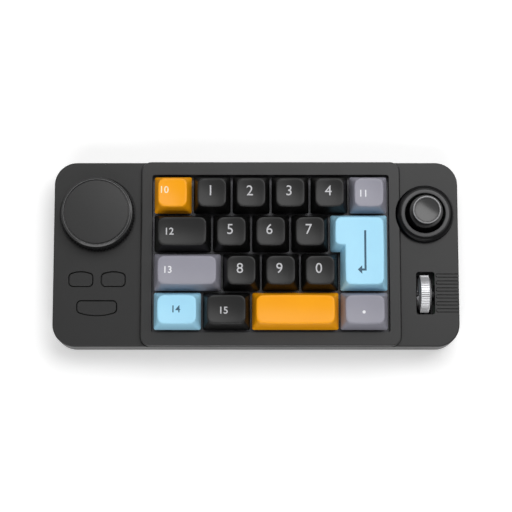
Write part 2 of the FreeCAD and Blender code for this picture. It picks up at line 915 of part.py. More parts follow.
def make_joystick_ring():
    """Collar round the stick: a rounded shoulder, a raised lip and a skirt through the roof."""
    lip_z = wing_z + collar_lip_height
    shoulder_z = wing_z + collar_rise
    edge_z = wing_z + collar_edge_height
    skirt_z = roof_z - collar_skirt_drop
    under_lip_z = lip_z - collar_lip_land
    slope_z = under_lip_z - (dome_cavity - collar_mouth_radius)
    drop = shoulder_z - edge_z
    reach = collar_radius - collar_lip_radius
    bow = math.sqrt(1 / 2)

    def spot(radius, z):
        return at(stick_x + radius, stick_y, z)

    corners = [
        spot(dome_cavity, skirt_z), spot(dome_cavity, slope_z), spot(collar_mouth_radius, under_lip_z),
        spot(collar_mouth_radius, lip_z), spot(collar_lip_radius - collar_lip_bevel, lip_z),
        spot(collar_lip_radius, lip_z - collar_lip_bevel), spot(collar_lip_radius, shoulder_z),
    ]
    shoulder = Part.Arc(
        corners[-1], spot(collar_lip_radius + reach * bow, edge_z + drop * bow), spot(collar_radius, edge_z))
    tail = [
        spot(collar_radius, edge_z), spot(collar_radius, wing_z), spot(skirt_radius, wing_z),
        spot(skirt_radius, skirt_z), corners[0],
    ]
    edges = [Part.LineSegment(a, b).toShape() for a, b in zip(corners, corners[1:])]
    edges.append(shoulder.toShape())
    edges.extend(Part.LineSegment(a, b).toShape() for a, b in zip(tail, tail[1:]))
    return Part.Face(Part.Wire(edges)).revolve(at(stick_x, stick_y, 0), UP, 360)


def make_joystick_housing():
    """Open box of the stick module, with bearings for the yoke's pins."""
    height = pivot_z + gimbal_rim - board_z
    box = block(stick_x, stick_y, board_z, gimbal_size, gimbal_size, height)
    inside = gimbal_size - 2 * gimbal_wall
    hollow = block(stick_x, stick_y, board_z + gimbal_floor, inside, inside, height)
    start = at(stick_x - gimbal_size / 2 - OVERRUN, stick_y, pivot_z)
    bearing = Part.makeCylinder(yoke_pin_radius + pin_fit, gimbal_size + 2 * OVERRUN, start, ALONG)
    return without(box, [hollow, bearing])


def make_joystick_sensors():
    """Position sensors on two sides of the stick module."""
    reach = (gimbal_size + sensor_length) / 2
    return [
        block(stick_x + reach, stick_y, board_z, sensor_length, sensor_width, sensor_height),
        block(stick_x, stick_y + reach, board_z, sensor_width, sensor_length, sensor_height),
    ]


def make_joystick_yoke():
    """Frame that swings on pins along X and carries the stick's own pins along Y."""
    frame = block(stick_x, stick_y, pivot_z - yoke_height / 2, yoke_size, yoke_size, yoke_height)
    pin_length = gimbal_size - 2 * yoke_pin_gap
    start = at(stick_x - pin_length / 2, stick_y, pivot_z)
    pins = Part.makeCylinder(yoke_pin_radius, pin_length, start, ALONG)
    window = block(stick_x, stick_y, pivot_z - yoke_height, yoke_window, yoke_window, 2 * yoke_height)
    start = at(stick_x, stick_y - yoke_size / 2 - OVERRUN, pivot_z)
    bearing = Part.makeCylinder(stick_pin_radius + pin_fit, yoke_size + 2 * OVERRUN, start, BACK)
    return without(joined([frame, pins]), [window, bearing])


def make_joystick_stick():
    """Upright shaft with a cross pin at the pivot."""
    top_z = grip_z - stick_nose_gap
    shaft = disc(stick_x, stick_y, pivot_z - stick_tail, stick_radius, top_z - pivot_z + stick_tail)
    start = at(stick_x, stick_y - yoke_size / 2, pivot_z)
    pin = Part.makeCylinder(stick_pin_radius, yoke_size, start, BACK)
    return joined([shaft, pin])


def make_joystick_dome():
    """Round skirt that hides the module, with a neck on the shaft."""
    inside = dome_radius - dome_wall
    bore = stick_radius + stick_fit
    lean = math.radians(dome_edge_angle)

    def spot(radius, z):
        return at(stick_x + radius, stick_y, z)

    def on_ball(ball, radius):
        return spot(radius, pivot_z + math.sqrt(ball ** 2 - radius ** 2))

    edge = dome_radius * math.sin(lean)
    inner_edge = math.sqrt(inside ** 2 - (dome_radius * math.cos(lean)) ** 2)
    rim = [
        spot(dome_neck_radius, grip_z), spot(bore, grip_z), on_ball(inside, bore),
        on_ball(inside, inner_edge), on_ball(dome_radius, edge),
    ]
    neck = on_ball(dome_radius, dome_neck_radius)
    crown = Part.Arc(rim[-1], on_ball(dome_radius, (edge + dome_neck_radius) / 2), neck)
    edges = [Part.LineSegment(a, b).toShape() for a, b in zip(rim, rim[1:])]
    edges.append(crown.toShape())
    edges.append(Part.LineSegment(neck, rim[0]).toShape())
    return Part.Face(Part.Wire(edges)).revolve(at(stick_x, stick_y, 0), UP, 360)


def make_joystick_cap():
    """Grip: a wide flange, a drawn-in waist and a rim round a shallow dish."""
    top_z = grip_z + grip_height
    flange_z = grip_z + grip_flange_height
    waist_z = flange_z + grip_waist_height

    def spot(radius, z):
        return at(stick_x + radius, stick_y, z)

    points = [
        spot(0, grip_z), spot(dome_neck_radius, grip_z),
        spot(grip_flange_radius, flange_z - grip_flange_edge), spot(grip_flange_radius, flange_z),
        spot(grip_waist_radius, flange_z), spot(grip_waist_radius, waist_z),
        spot(grip_rim_radius, waist_z + grip_bevel), spot(grip_rim_radius, top_z - grip_bevel),
        spot(grip_rim_radius - grip_bevel, top_z), spot(grip_dish_radius, top_z),
    ]
    edges = [Part.LineSegment(a, b).toShape() for a, b in zip(points, points[1:])]
    low = top_z - grip_dish_depth
    bend = (grip_dish_radius ** 2 + grip_dish_depth ** 2) / (2 * grip_dish_depth)
    half = grip_dish_radius / 2
    middle_z = low + bend - math.sqrt(bend ** 2 - half ** 2)
    edges.append(Part.Arc(points[-1], spot(half, middle_z), spot(0, low)).toShape())
    edges.append(Part.LineSegment(spot(0, low), points[0]).toShape())
    return Part.Face(Part.Wire(edges)).revolve(at(stick_x, stick_y, 0), UP, 360)


# Scroll wheel

def along_x(x, radius, length):
    """Cylinder on the wheel's axis, starting at an offset x from the wheel's middle."""
    return Part.makeCylinder(radius, length, at(wheel_x + x, wheel_y, wheel_axis_z), ALONG)


def make_scroll_wheel():
    """Ribbed tread between two bevelled cheeks, hollowed at the sides."""
    half_tread = wheel_tread / 2
    half_width = wheel_width / 2
    outline = star_outline(wheel_radius, wheel_rib_depth, wheel_rib_count, 1 - wheel_rib_gap_share)
    rim = [at(wheel_x - half_tread, wheel_y + py, wheel_axis_z + pz) for py, pz in outline]
    tread = Part.Face(Part.makePolygon(rim + [rim[0]])).extrude(ALONG * wheel_tread)
    shoulder = wheel_radius - 2 * wheel_rib_depth
    profile = [
        (-half_width, 0), (-half_width, shoulder - wheel_side_drop), (-half_tread, shoulder),
        (half_tread, shoulder), (half_width, shoulder - wheel_side_drop), (half_width, 0),
    ]
    corners = [at(wheel_x + px, wheel_y, wheel_axis_z + pz) for px, pz in profile]
    core = Part.Face(Part.makePolygon(corners + [corners[0]])).revolve(
        at(wheel_x, wheel_y, wheel_axis_z), ALONG, 360)
    depth = wheel_hollow_depth
    cuts = [
        along_x(-half_width - OVERRUN, wheel_hollow_radius, depth + OVERRUN),
        along_x(half_width - depth, wheel_hollow_radius, depth + OVERRUN),
        along_x(-half_width - OVERRUN, axle_radius, wheel_width + 2 * OVERRUN),
    ]
    return without(joined([core, tread]), cuts)


def make_wheel_axle():
    return along_x(-axle_left, axle_radius, axle_left + axle_right)


def make_wheel_bracket():
    """Two ears on one base round the board's slot; the axle turns in them."""
    half_slot = board_slot_x / 2
    base = block(
        wheel_x, wheel_y, board_z, board_slot_x + 2 * ear_thickness, board_slot_y + 2 * bracket_base_margin,
        bracket_base_height,
    )
    base = base.cut(block(
        wheel_x, wheel_y, board_z - OVERRUN, board_slot_x, board_slot_y, bracket_base_height + 2 * OVERRUN))
    pieces = [base]
    for offset in (-half_slot - ear_thickness, half_slot):
        pieces.append(Part.makeBox(
            ear_thickness, 2 * ear_radius, wheel_axis_z - board_z,
            at(wheel_x + offset, wheel_y - ear_radius, board_z),
        ))
        pieces.append(along_x(offset, ear_radius, ear_thickness))
    reach = half_slot + ear_thickness + OVERRUN
    return joined(pieces).cut(along_x(-reach, axle_radius + axle_fit, 2 * reach))


def make_wheel_encoder():
    """Encoder beside the wheel, driven by the axle's end."""
    start = board_slot_x / 2 + ear_thickness + wheel_encoder_gap
    body = block(
        wheel_x + start + wheel_encoder_length / 2, wheel_y, board_z,
        wheel_encoder_length, wheel_encoder_width, wheel_encoder_height,
    )
    return body.cut(along_x(start - OVERRUN, axle_radius + axle_fit, wheel_encoder_length + 2 * OVERRUN))


# Cable inlet

def inlet_bar(grow, y, length):
    """Bar along Y with the inlet's rounded section, grown all round."""
    height = inlet_height + 2 * grow
    width = inlet_width + 2 * grow
    z = board_z - grow
    radius = height / 2
    middle = Part.makeBox(width - height, length, height, at(inlet_x - (width - height) / 2, y, z))
    pieces = [middle]
    for side in (-1, 1):
        centre = at(inlet_x + side * (width - height) / 2, y, z + radius)
        pieces.append(Part.makeCylinder(radius, length, centre, BACK))
    return joined(pieces)


def inlet_opening():
    """Hole for the inlet through the back wall."""
    start = case_depth / 2 - wall - OVERRUN
    return inlet_bar(inlet_clearance, start, wall + 2 * OVERRUN)


def make_usb_socket():
    """Metal shell with a tongue inside, open to the back."""
    start = case_depth / 2 - inlet_setback - inlet_depth
    shell = inlet_bar(0, start, inlet_depth)
    hollow = inlet_bar(-inlet_wall, start + inlet_back_wall, inlet_depth)
    tongue_length = inlet_depth - inlet_tongue_setback
    tongue = block(
        inlet_x, start + tongue_length / 2, board_z + (inlet_height - inlet_tongue_height) / 2,
        inlet_tongue_width, tongue_length, inlet_tongue_height,
    )
    return joined([shell.cut(hollow), tongue])


def make_parts():
    """Every piece by name; a list holds several alike or paired solids of one node."""
    places = switch_places()
    left_place, right_place, wide_place = button_places()
    parts = {
        "bottom_case": make_bottom_case(),
        "top_case": make_top_case(),
        "key_bezel": make_key_bezel(),
        "rubber_feet": make_rubber_feet(),
        "case_screws": make_case_screws(),
        "main_board": make_main_board(),
        "controller_chip": make_controller_chip(),
        "usb_socket": make_usb_socket(),
        "switch_plate": make_switch_plate(),
        "plate_spacers": make_plate_spacers(),
        "switch_housings": [make_switch_housing(x, y) for x, y in places],
        "key_springs": [make_key_spring(x, y) for x, y in places],
        "dial_encoder": make_dial_encoder(),
        "dial_shaft": make_dial_shaft(),
        "dial_knob": make_dial_knob(),
        "dial_cap": make_dial_cap(),
        "button_switches": make_button_switches(),
        "left_button": make_button(left_place),
        "right_button": make_button(right_place),
        "wide_button": make_button(wide_place),
        "left_plunger": make_plunger(left_place),
        "right_plunger": make_plunger(right_place),
        "wide_plunger": make_plunger(wide_place),
        "joystick_ring": make_joystick_ring(),
        "joystick_housing": make_joystick_housing(),
        "joystick_sensors": make_joystick_sensors(),
        "joystick_yoke": make_joystick_yoke(),
        "joystick_stick": make_joystick_stick(),
        "joystick_dome": make_joystick_dome(),
        "joystick_cap": make_joystick_cap(),
        "scroll_wheel": make_scroll_wheel(),
        "wheel_axle": make_wheel_axle(),
        "wheel_bracket": make_wheel_bracket(),
        "wheel_encoder": make_wheel_encoder(),
    }
    for name, x, y, width in key_places():
        parts[name] = [make_cap(x, y, [(x, y, width, key_pitch)]), make_slider(x, y)]
    x, y = enter_place()
    parts["key_enter"] = [make_cap(x, y, enter_cells()), make_slider(x, y)]
    return parts


def main():
    os.makedirs("parts", exist_ok=True)
    for name, shape in make_parts().items():
        if isinstance(shape, list):
            shape = Part.makeCompound(shape)
        shape.exportStep("parts/" + name + ".step")


main()
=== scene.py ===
import json
import math

import bmesh
import bpy
from mathutils import Matrix, Vector

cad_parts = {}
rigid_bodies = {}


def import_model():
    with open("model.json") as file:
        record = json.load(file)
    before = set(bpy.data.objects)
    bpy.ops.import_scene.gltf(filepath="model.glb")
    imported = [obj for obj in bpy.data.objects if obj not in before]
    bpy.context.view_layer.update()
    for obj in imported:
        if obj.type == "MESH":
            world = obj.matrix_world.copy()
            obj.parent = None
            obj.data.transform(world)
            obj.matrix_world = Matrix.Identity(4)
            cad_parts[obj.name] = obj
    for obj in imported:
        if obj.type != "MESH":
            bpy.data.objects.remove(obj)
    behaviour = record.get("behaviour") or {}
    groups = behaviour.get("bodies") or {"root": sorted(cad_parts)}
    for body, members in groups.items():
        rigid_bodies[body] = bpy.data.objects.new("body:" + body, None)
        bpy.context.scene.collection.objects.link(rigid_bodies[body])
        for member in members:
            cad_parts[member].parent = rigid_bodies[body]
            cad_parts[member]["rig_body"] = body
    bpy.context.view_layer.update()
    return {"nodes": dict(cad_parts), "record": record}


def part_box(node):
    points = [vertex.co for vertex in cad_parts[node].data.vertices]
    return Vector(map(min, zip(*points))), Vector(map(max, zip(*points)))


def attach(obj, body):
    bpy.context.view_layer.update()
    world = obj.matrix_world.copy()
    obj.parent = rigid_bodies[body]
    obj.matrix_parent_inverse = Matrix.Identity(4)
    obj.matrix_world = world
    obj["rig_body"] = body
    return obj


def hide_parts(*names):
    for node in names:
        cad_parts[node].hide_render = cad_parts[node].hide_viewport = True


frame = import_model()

bl_info = {
    "name": "Macro keypad",
    "version": (1, 0, 0),
    "blender": (4, 5, 0),
    "location": "View3D > Sidebar > Keypad",
    "description": "Dresses a desk keypad with keycaps, a dial, buttons, a thumb stick and a scroll wheel",
    "category": "Add Mesh",
}

MM = 0.001

# Distance that joins points, and the turns past which an edge is sharp, is sharp on a keycap, is softened
# or counts as a bend at all
MERGE = 0.002 * MM
SHARP = math.radians(32)
CAP_SHARP = math.radians(38)
BEND = math.radians(40)
FLAT = math.radians(0.4)


def shade(red, green, blue):
    """Linear colour from the 0 to 255 values that a screen shows."""
    return tuple(
        v / 255 / 12.92 if v / 255 <= 0.04045 else ((v / 255 + 0.055) / 1.055) ** 2.4
        for v in (red, green, blue)
    )


def length_of(name, description, value):
    """Length property given in millimetres."""
    return bpy.props.FloatProperty(
        name=name, description=description, default=value * MM, min=0.0, precision=5,
        subtype="DISTANCE", unit="LENGTH",
    )


def share_of(name, description, value):
    """Property between nought and one."""
    return bpy.props.FloatProperty(
        name=name, description=description, default=value, min=0.0, max=1.0, subtype="FACTOR")


def colour_of(name, description, *screen):
    """Colour property given as a screen shows it."""
    return bpy.props.FloatVectorProperty(
        name=name, description=description, default=shade(*screen), min=0.0, max=1.0, size=3, subtype="COLOR",
    )


class CaseLook(bpy.types.PropertyGroup):
    case_colour: colour_of("Case", "Moulded shells", 32, 32, 32)
    bezel_colour: colour_of("Bezel", "Raised frame round the keys", 40, 40, 40)
    button_colour: colour_of("Buttons", "Flush buttons in the left wing", 31, 31, 31)
    foot_colour: colour_of("Feet", "Rubber feet", 30, 30, 32)
    board_colour: colour_of("Board", "Board inside the case", 24, 60, 40)
    dark_colour: colour_of("Inner plastic", "Switch bodies and other inner mouldings", 24, 24, 26)
    plate_colour: colour_of("Switch plate", "Dark metal plate under the keys", 70, 70, 72)
    steel_colour: colour_of("Steel", "Screws and other bright steel parts", 140, 140, 144)
    edge_width: length_of("Edge", "Width of the softened edges of the moulded shells", 0.08)
    plastic_shine: share_of("Plastic shine", "Strength of reflections on the matt plastics", 0.25)
    screw_head: length_of("Screw head", "Radius of a screw head", 2.3)
    screw_head_height: length_of("Head height", "Height of a screw head", 1.3)
    screw_shank: length_of("Screw shank", "Radius of a screw's shank", 1.2)
    screw_round: length_of("Screw rounding", "Rounding of a screw head's outer edge", 0.45)
    screw_socket: length_of("Screw socket", "Size of the six-sided socket in a screw, corner to corner", 2.3)
    socket_depth: length_of("Socket depth", "Depth of the socket in a screw", 0.9)


class KeyLook(bpy.types.PropertyGroup):
    pitch: length_of("Pitch", "Distance between neighbouring keys", 19.05)
    gap: length_of("Gap", "Gap between neighbouring keycaps at the foot", 0.95)
    lift: length_of("Foot level", "Foot of a keycap below the top of the bezel", 0.2)
    height: length_of("Height", "Height of a keycap from its foot to the low point of its dish", 7.7)
    dish: length_of("Dish", "Rise of the dish to the middle of each side", 0.58)
    taper: length_of("Taper", "How far each side draws in from foot to top", 2.45)
    foot_radius: length_of("Foot corner", "Corner radius at the foot", 1.0)
    top_radius: length_of("Top corner", "Corner radius at the top", 2.9)
    step_radius: length_of("Step corner", "Radius of the inner corner of the tall key", 0.35)
    bulge: length_of("Bow", "How far each side of the top bows outwards", 0.3)
    rim: length_of("Rim", "Width of the rounded rim round the top", 0.6)
    wall: length_of("Wall", "Wall thickness of a keycap", 1.3)
    ceiling: length_of("Ceiling", "Thickness of a keycap under its dish", 1.5)
    cell: length_of("Mesh step", "Spacing of the mesh that forms the dish", 1.5)
    slide_length: length_of("Slide length", "Length of the switch's sliding block", 7.0)
    slide_depth: length_of("Slide depth", "Depth of the switch's sliding block", 5.5)
    slide_lift: length_of("Slide top", "Top of the sliding block above the keycap's foot", 0.18)
    slide_edge: length_of("Slide edge", "Softened edge of the sliding block", 0.15)
    slide_wall: length_of("Slide wall", "Thinnest wall of the sliding block", 0.65)
    pocket_depth: length_of("Pocket", "Depth of the spring's pocket in the sliding block", 5.2)
    boss_radius: length_of("Boss", "Radius of the boss under a keycap", 2.7)
    digit_height: length_of("Digits", "Height of a single digit", 4.9)
    number_height: length_of("Numbers", "Height of a number with two digits", 3.4)
    dot_radius: length_of("Dot", "Radius of the dot", 0.8)
    arrow_width: length_of("Arrow width", "Width of the bent arrow", 4.2)
    arrow_height: length_of("Arrow height", "Height of the bent arrow", 21.3)
    arrow_stroke: length_of("Arrow line", "Width of the arrow's line", 1.0)
    shine: share_of("Key shine", "Strength of reflections on the keycaps", 0.25)
    black: colour_of("Black keys", "Keycaps of the plain keys", 12, 12, 12)
    orange: colour_of("Orange keys", "Top left key and the long key", 255, 168, 12)
    grey: colour_of("Grey keys", "Grey accent keys", 150, 149, 160)
    blue: colour_of("Blue keys", "Tall key and bottom left key", 172, 228, 255)
    print_light: colour_of("Print on black", "Markings on the black keys", 196, 196, 199)
    print_cream: colour_of("Print on orange", "Markings on the orange keys", 255, 238, 200)
    print_white: colour_of("Print on grey", "Markings on the grey keys", 236, 236, 240)
    print_slate: colour_of("Print on blue", "Markings on the blue keys", 62, 92, 112)


class DialLook(bpy.types.PropertyGroup):
    grip_colour: colour_of("Side", "Knurled side of the dial", 10, 10, 11)
    # The edge's lighter grey than the dark side is painted sheen of the edge round the groove
    edge_colour: colour_of("Edge", "Bright edge round the disc", 62, 62, 63)
    disc_colour: colour_of("Disc", "Cap disc on top of the dial", 42, 42, 42)
    knurls: bpy.props.IntProperty(name="Knurls", description="Ribs round the dial", default=72, min=12)
    knurl_depth: length_of("Knurl depth", "Depth of the grooves round the dial", 0.4)
    draft: length_of("Draft", "How far the side leans in from foot to top", 0.85)
    foot_band: length_of("Foot band", "Height of the plain band below the knurls", 0.5)
    shoulder_drop: length_of("Shoulder", "Drop of the sloping shoulder outside the bright edge", 0.4)
    shoulder_edge: length_of("Shoulder edge", "Height of the shoulder's upright edge over the knurls", 0.35)
    edge_width: length_of("Edge width", "Width of the bright edge round the groove", 0.4)
    edge_height: length_of("Edge height", "Height of the bright edge", 0.5)
    groove_width: length_of("Groove", "Width of the groove round the disc", 0.7)
    disc_inset: length_of("Disc inset", "How far the disc stands in from its seat", 0.55)
    top_wall: length_of("Top wall", "Thickness of the dial's top", 2.4)
    wall: length_of("Wall", "Wall of the dial", 2.2)
    hub_radius: length_of("Hub", "Radius of the hub under the dial", 4.8)
    bore_radius: length_of("Bore", "Radius of the bore in the hub", 3.02)


class ControlLook(bpy.types.PropertyGroup):
    collar_colour: colour_of("Collar", "Glossy shoulder of the thumb stick's collar", 4, 4, 5)
    lip_colour: colour_of("Lip", "Satin lip of the thumb stick's collar", 52, 52, 53)
    grip_colour: colour_of("Grip", "Dished head of the thumb stick", 9, 9, 10)
    # The grip edge's light grey is a painted highlight of its polished rim
    edge_colour: colour_of("Grip edge", "Polished edge of the grip", 132, 132, 134)
    dome_colour: colour_of("Dome", "Dome and flange under the grip", 10, 10, 11)
    wheel_colour: colour_of("Wheel", "Metal of the scroll wheel", 192, 192, 194)
    lip_width: length_of("Lip width", "Width of the lip round the mouth", 1.9)
    shoulder_width: length_of("Shoulder width", "Width of the rounded shoulder", 2.5)
    shoulder_height: length_of("Shoulder height", "Height of the shoulder's outer edge over the wing", 1.2)
    lip_step: length_of("Lip step", "Height of the lip over the shoulder", 1.1)
    lip_land: length_of("Lip land", "Thickness of the lip at the mouth", 0.9)
    skirt: length_of("Skirt", "Wall of the skirt through the roof", 1.0)
    skirt_radius: length_of("Skirt radius", "Outer radius of the skirt", 12.2)
    lip_edge: length_of("Lip edge", "Rounding of the lip's edges", 0.28)
    dome_radius: length_of("Dome", "Outer radius of the dome", 10.6)
    dome_wall: length_of("Dome wall", "Wall of the dome", 1.2)
    neck_radius: length_of("Neck", "Radius of the dome's neck", 3.4)
    stem_radius: length_of("Shaft hole", "Radius of the hole for the shaft", 2.02)
    flange_height: length_of("Flange", "Thickness of the flange under the waist", 1.4)
    flange_edge: length_of("Flange edge", "Height of the flange's upright edge", 0.5)
    flange_round: length_of("Flange rounding", "Rounding of the flange's upper edge", 0.3)
    waist_height: length_of("Waist height", "Height of the waist", 2.0)
    waist_depth: length_of("Waist", "Depth of the waist between the flange and the rim", 2.1)
    rim_setback: length_of("Rim setback", "How far the rim stands in from the flange", 1.3)
    rim_width: length_of("Rim width", "Width of the rim round the dish", 1.0)
    dish_depth: length_of("Dish depth", "Depth of the dish in the grip", 1.15)
    dish_wall: length_of("Dish wall", "Height of the steep wall round the dish", 0.45)
    edge_width: length_of("Polished edge", "Width of the polished edge on the rim", 0.55)
    edge_height: length_of("Polished edge height", "Height of the polished edge on the rim", 0.5)
    gloss_shine: share_of("Gloss shine", "Strength of reflections on the glossy parts", 0.1)
    satin_shine: share_of("Satin shine", "Strength of reflections on the satin parts", 0.4)
    dome_shine: share_of("Dome shine", "Strength of reflections on the dome and flange", 0.2)
    grip_shine: share_of("Grip shine", "Strength of reflections on the grip's head", 0.56)
    wheel_ribs: bpy.props.IntProperty(name="Ribs", description="Ribs round the wheel", default=64, min=12)
    rib_depth: length_of("Rib depth", "Depth of the notches between ribs", 0.55)
    shoulder_drop: length_of("Shoulder", "Depth of the shoulder beside the tread", 0.8)
    tread_edge: length_of("Tread edge", "Softened edge of the tread", 0.15)
    tread: length_of("Tread", "Width of the ribbed tread", 4.2)
    cheek_drop: length_of("Cheek", "How far the cheeks slope down to the sides", 0.9)
    hollow_radius: length_of("Hollow radius", "Radius of the hollow in each side", 5.6)
    hollow_depth: length_of("Hollow depth", "Depth of the hollow in each side", 0.8)
    axle_radius: length_of("Axle hole", "Radius of the hole for the axle", 1.0)


class StageLook(bpy.types.PropertyGroup):
    eye: bpy.props.FloatVectorProperty(
        name="Camera", description="Place of the camera", default=(0.0, -0.13285, 0.8601), size=3,
        subtype="TRANSLATION", unit="LENGTH")
    aim: bpy.props.FloatVectorProperty(
        name="Aim", description="Point that the camera looks at", default=(0.0, -0.00145, 0.0203), size=3,
        subtype="TRANSLATION", unit="LENGTH")
    lens: bpy.props.FloatProperty(
        name="Lens", description="Focal length for a 36 mm sensor", default=122.74, min=10.0,
        unit="CAMERA")
    floor_colour: colour_of("Floor", "Pale table top", 244, 244, 244)
    floor_glow: bpy.props.FloatProperty(
        name="Floor glow", description="Light that the floor adds near the keypad, where it is seen",
        default=0.3, min=0.0)
    glow_start: bpy.props.FloatProperty(
        name="Glow start", description="Distance from the keypad at which the floor's glow begins to rise",
        default=0.35, min=0.0, subtype="DISTANCE", unit="LENGTH")
    glow_full: bpy.props.FloatProperty(
        name="Full glow", description="Distance at which the floor shows plain white", default=1.1, min=0.0,
        subtype="DISTANCE", unit="LENGTH")
    ambient: bpy.props.FloatProperty(
        name="Ambient", description="Strength of the even light from all round", default=0.1, min=0.0)


LOOKS = (
    ("keypad_case", CaseLook),
    ("keypad_keys", KeyLook),
    ("keypad_dial", DialLook),
    ("keypad_controls", ControlLook),
    ("keypad_stage", StageLook),
)


# Materials

# Size and ramp of the slow drift in colour, spread of the roughness, and strength of the fine relief
DRIFT_SIZE = 14 * MM
DRIFT_STOPS = (0.3, 0.7)
ROUGHNESS_DRIFT = 0.06
BUMP_STRENGTH = 0.6


def wire(tree, node, inputs):
    """Links each named input to a socket, or sets it to a value."""
    for key, value in inputs.items():
        if isinstance(value, bpy.types.NodeSocket):
            tree.links.new(value, node.inputs[key])
        else:
            node.inputs[key].default_value = value


def add_node(tree, kind, inputs, **settings):
    """Shader node of a kind, with its settings and inputs."""
    node = tree.nodes.new("ShaderNode" + kind)
    for name, value in settings.items():
        setattr(node, name, value)
    wire(tree, node, inputs)
    return node


def varied(tree, coords, colour, scale, spread):
    """Colour that drifts a little over the surface."""
    noise = add_node(tree, "TexNoise", {"Vector": coords, "Scale": scale, "Detail": 4.0})
    ramp = add_node(tree, "ValToRGB", {"Fac": noise.outputs["Fac"]})
    for stop, place, share in zip(ramp.color_ramp.elements, DRIFT_STOPS, (1 - spread, 1 + spread)):
        stop.position = place
        stop.color = tuple(min(1.0, c * share) for c in colour) + (1.0,)
    return ramp.outputs["Color"]


def finish(name, colour, roughness, grain=0.25, bump=0.02, spread=0.05, metallic=0.0, specular=0.5,
           stretch=None):
    """Material with a fine grain of the given size in millimetres, set in Object coordinates."""
    name += "_finish"
    existing = bpy.data.materials.get(name)
    if existing:
        return existing
    material = bpy.data.materials.new(name)
    material.use_nodes = True
    material.diffuse_color = tuple(colour) + (1.0,)
    tree = material.node_tree
    coords = add_node(tree, "TexCoord", {}).outputs["Object"]
    if stretch:
        coords = add_node(tree, "Mapping", {"Vector": coords, "Scale": stretch}).outputs["Vector"]
    texture = add_node(tree, "TexNoise", {"Vector": coords, "Scale": 1 / (grain * MM), "Detail": 2.0})
    height = texture.outputs["Fac"]
    rough = add_node(tree, "MapRange", {
        "Value": height, "To Min": max(0.02, roughness - ROUGHNESS_DRIFT),
        "To Max": min(1.0, roughness + ROUGHNESS_DRIFT),
    })
    relief = add_node(tree, "Bump", {"Strength": BUMP_STRENGTH, "Distance": bump * MM, "Height": height})
    wire(tree, tree.nodes["Principled BSDF"], {
        "Base Color": varied(tree, coords, colour, 1 / DRIFT_SIZE, spread), "Metallic": metallic,
        "Specular IOR Level": specular, "Roughness": rough.outputs["Result"],
        "Normal": relief.outputs["Normal"],
    })
    return material


def moulded(name, colour, shine):
    """Fine satin finish of the moulded shells and buttons."""
    return finish(name, colour, 0.38, grain=0.22, bump=0.012, spread=0.03, specular=shine)


def paint(piece, material):
    """One material on every face of a piece."""
    piece.data.materials.clear()
    piece.data.materials.append(material)
    return piece


# Pieces


def slot_of(node):
    """Material slot that the record gives a node."""
    return next(part["material_slot"] for part in frame["record"]["subparts"] if part["node"] == node)


def body_of(node):
    """Body that a node moves with."""
    return frame["nodes"][node]["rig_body"]


def middle_of(node):
    """Middle of a node's box at rest."""
    low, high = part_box(node)
    return (low + high) / 2


def soften(mesh, angle):
    """Smooth faces, with sharp edges where the surface turns by more than the angle."""
    for face in mesh.polygons:
        face.use_smooth = True
    mesh.set_sharp_from_angle(angle=angle)


def piece_of(name, shape, material, node, stands=True, slot=None, angle=SHARP):
    """Scene object from a finished bmesh on a node's body; it stands for the node or joins it."""
    mesh = bpy.data.meshes.new(name)
    shape.to_mesh(mesh)
    shape.free()
    soften(mesh, angle)
    piece = bpy.data.objects.new(name, mesh)
    bpy.context.scene.collection.objects.link(piece)
    paint(piece, material)
    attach(piece, body_of(node))
    slot = slot or slot_of(node)
    if stands:
        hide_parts(node)
    return piece


def merged(node):
    """Copy of a node's shape with its triangles joined into clean faces."""
    shape = bmesh.new()
    shape.from_mesh(frame["nodes"][node].data)
    bmesh.ops.remove_doubles(shape, verts=shape.verts, dist=MERGE)
    bmesh.ops.dissolve_limit(
        shape, angle_limit=FLAT, verts=shape.verts, edges=shape.edges, delimit={"NORMAL"})
    return shape


def even_out(mesh):
    """Corner normals weighted by face area, so that broad flat faces stay flat up to their soft edges."""
    touching = [[] for _ in mesh.vertices]
    for face in mesh.polygons:
        for index in face.vertices:
            touching[index].append(face)
    limit = math.cos(SHARP)
    normals = [None] * len(mesh.loops)
    for face in mesh.polygons:
        for corner in face.loop_indices:
            total = Vector((0, 0, 0))
            for other in touching[mesh.loops[corner].vertex_index]:
                if other.normal.dot(face.normal) > limit:
                    total += other.normal * other.area
            normals[corner] = total.normalized()
    mesh.normals_split_custom_set(normals)


def bevel(shape, geom, offset, segments, affect="EDGES", clamp=False):
    """Rounds edges or corners of a shape."""
    bmesh.ops.bevel(
        shape, geom=geom, offset=offset, offset_type="OFFSET", affect=affect, segments=segments,
        profile=0.5, clamp_overlap=clamp, material=-1,
    )


def refined(node, name, material, width):
    """Merged copy of a node's shape with softened edges, standing for the node."""
    shape = merged(node)
    corners = [e for e in shape.edges if len(e.link_faces) == 2 and e.calc_face_angle() > BEND]
    bevel(shape, corners, width, 3, clamp=True)
    even_out(piece_of(name, shape, material, node).data)


def spun(shape, profile, centre, axis="Z", steps=128, closed=False):
    """Surface turned from radius and height pairs; a profile that isn't closed has its ends on the axis."""
    verts = []
    for radius, height in profile:
        if axis == "Z":
            verts.append(shape.verts.new((centre.x + radius, centre.y, height)))
        else:
            verts.append(shape.verts.new((height, centre.y + radius, centre.z)))
    edges = [shape.edges.new(pair) for pair in zip(verts, verts[1:])]
    if closed:
        edges.append(shape.edges.new((verts[-1], verts[0])))
    bmesh.ops.spin(
        shape, geom=verts + edges, cent=centre, axis=(0, 0, 1) if axis == "Z" else (1, 0, 0),
        dvec=(0, 0, 0), angle=2 * math.pi, steps=steps, use_merge=True, use_duplicate=False,
    )
    bmesh.ops.remove_doubles(shape, verts=shape.verts, dist=MERGE)


def arc(middle, across, up, start, end, steps):
    """Points of an oval arc in a profile, by angles in degrees from level outwards."""
    points = []
    for index in range(steps + 1):
        angle = math.radians(start + (end - start) * index / steps)
        points.append((middle[0] + across * math.cos(angle), middle[1] + up * math.sin(angle)))
    return points


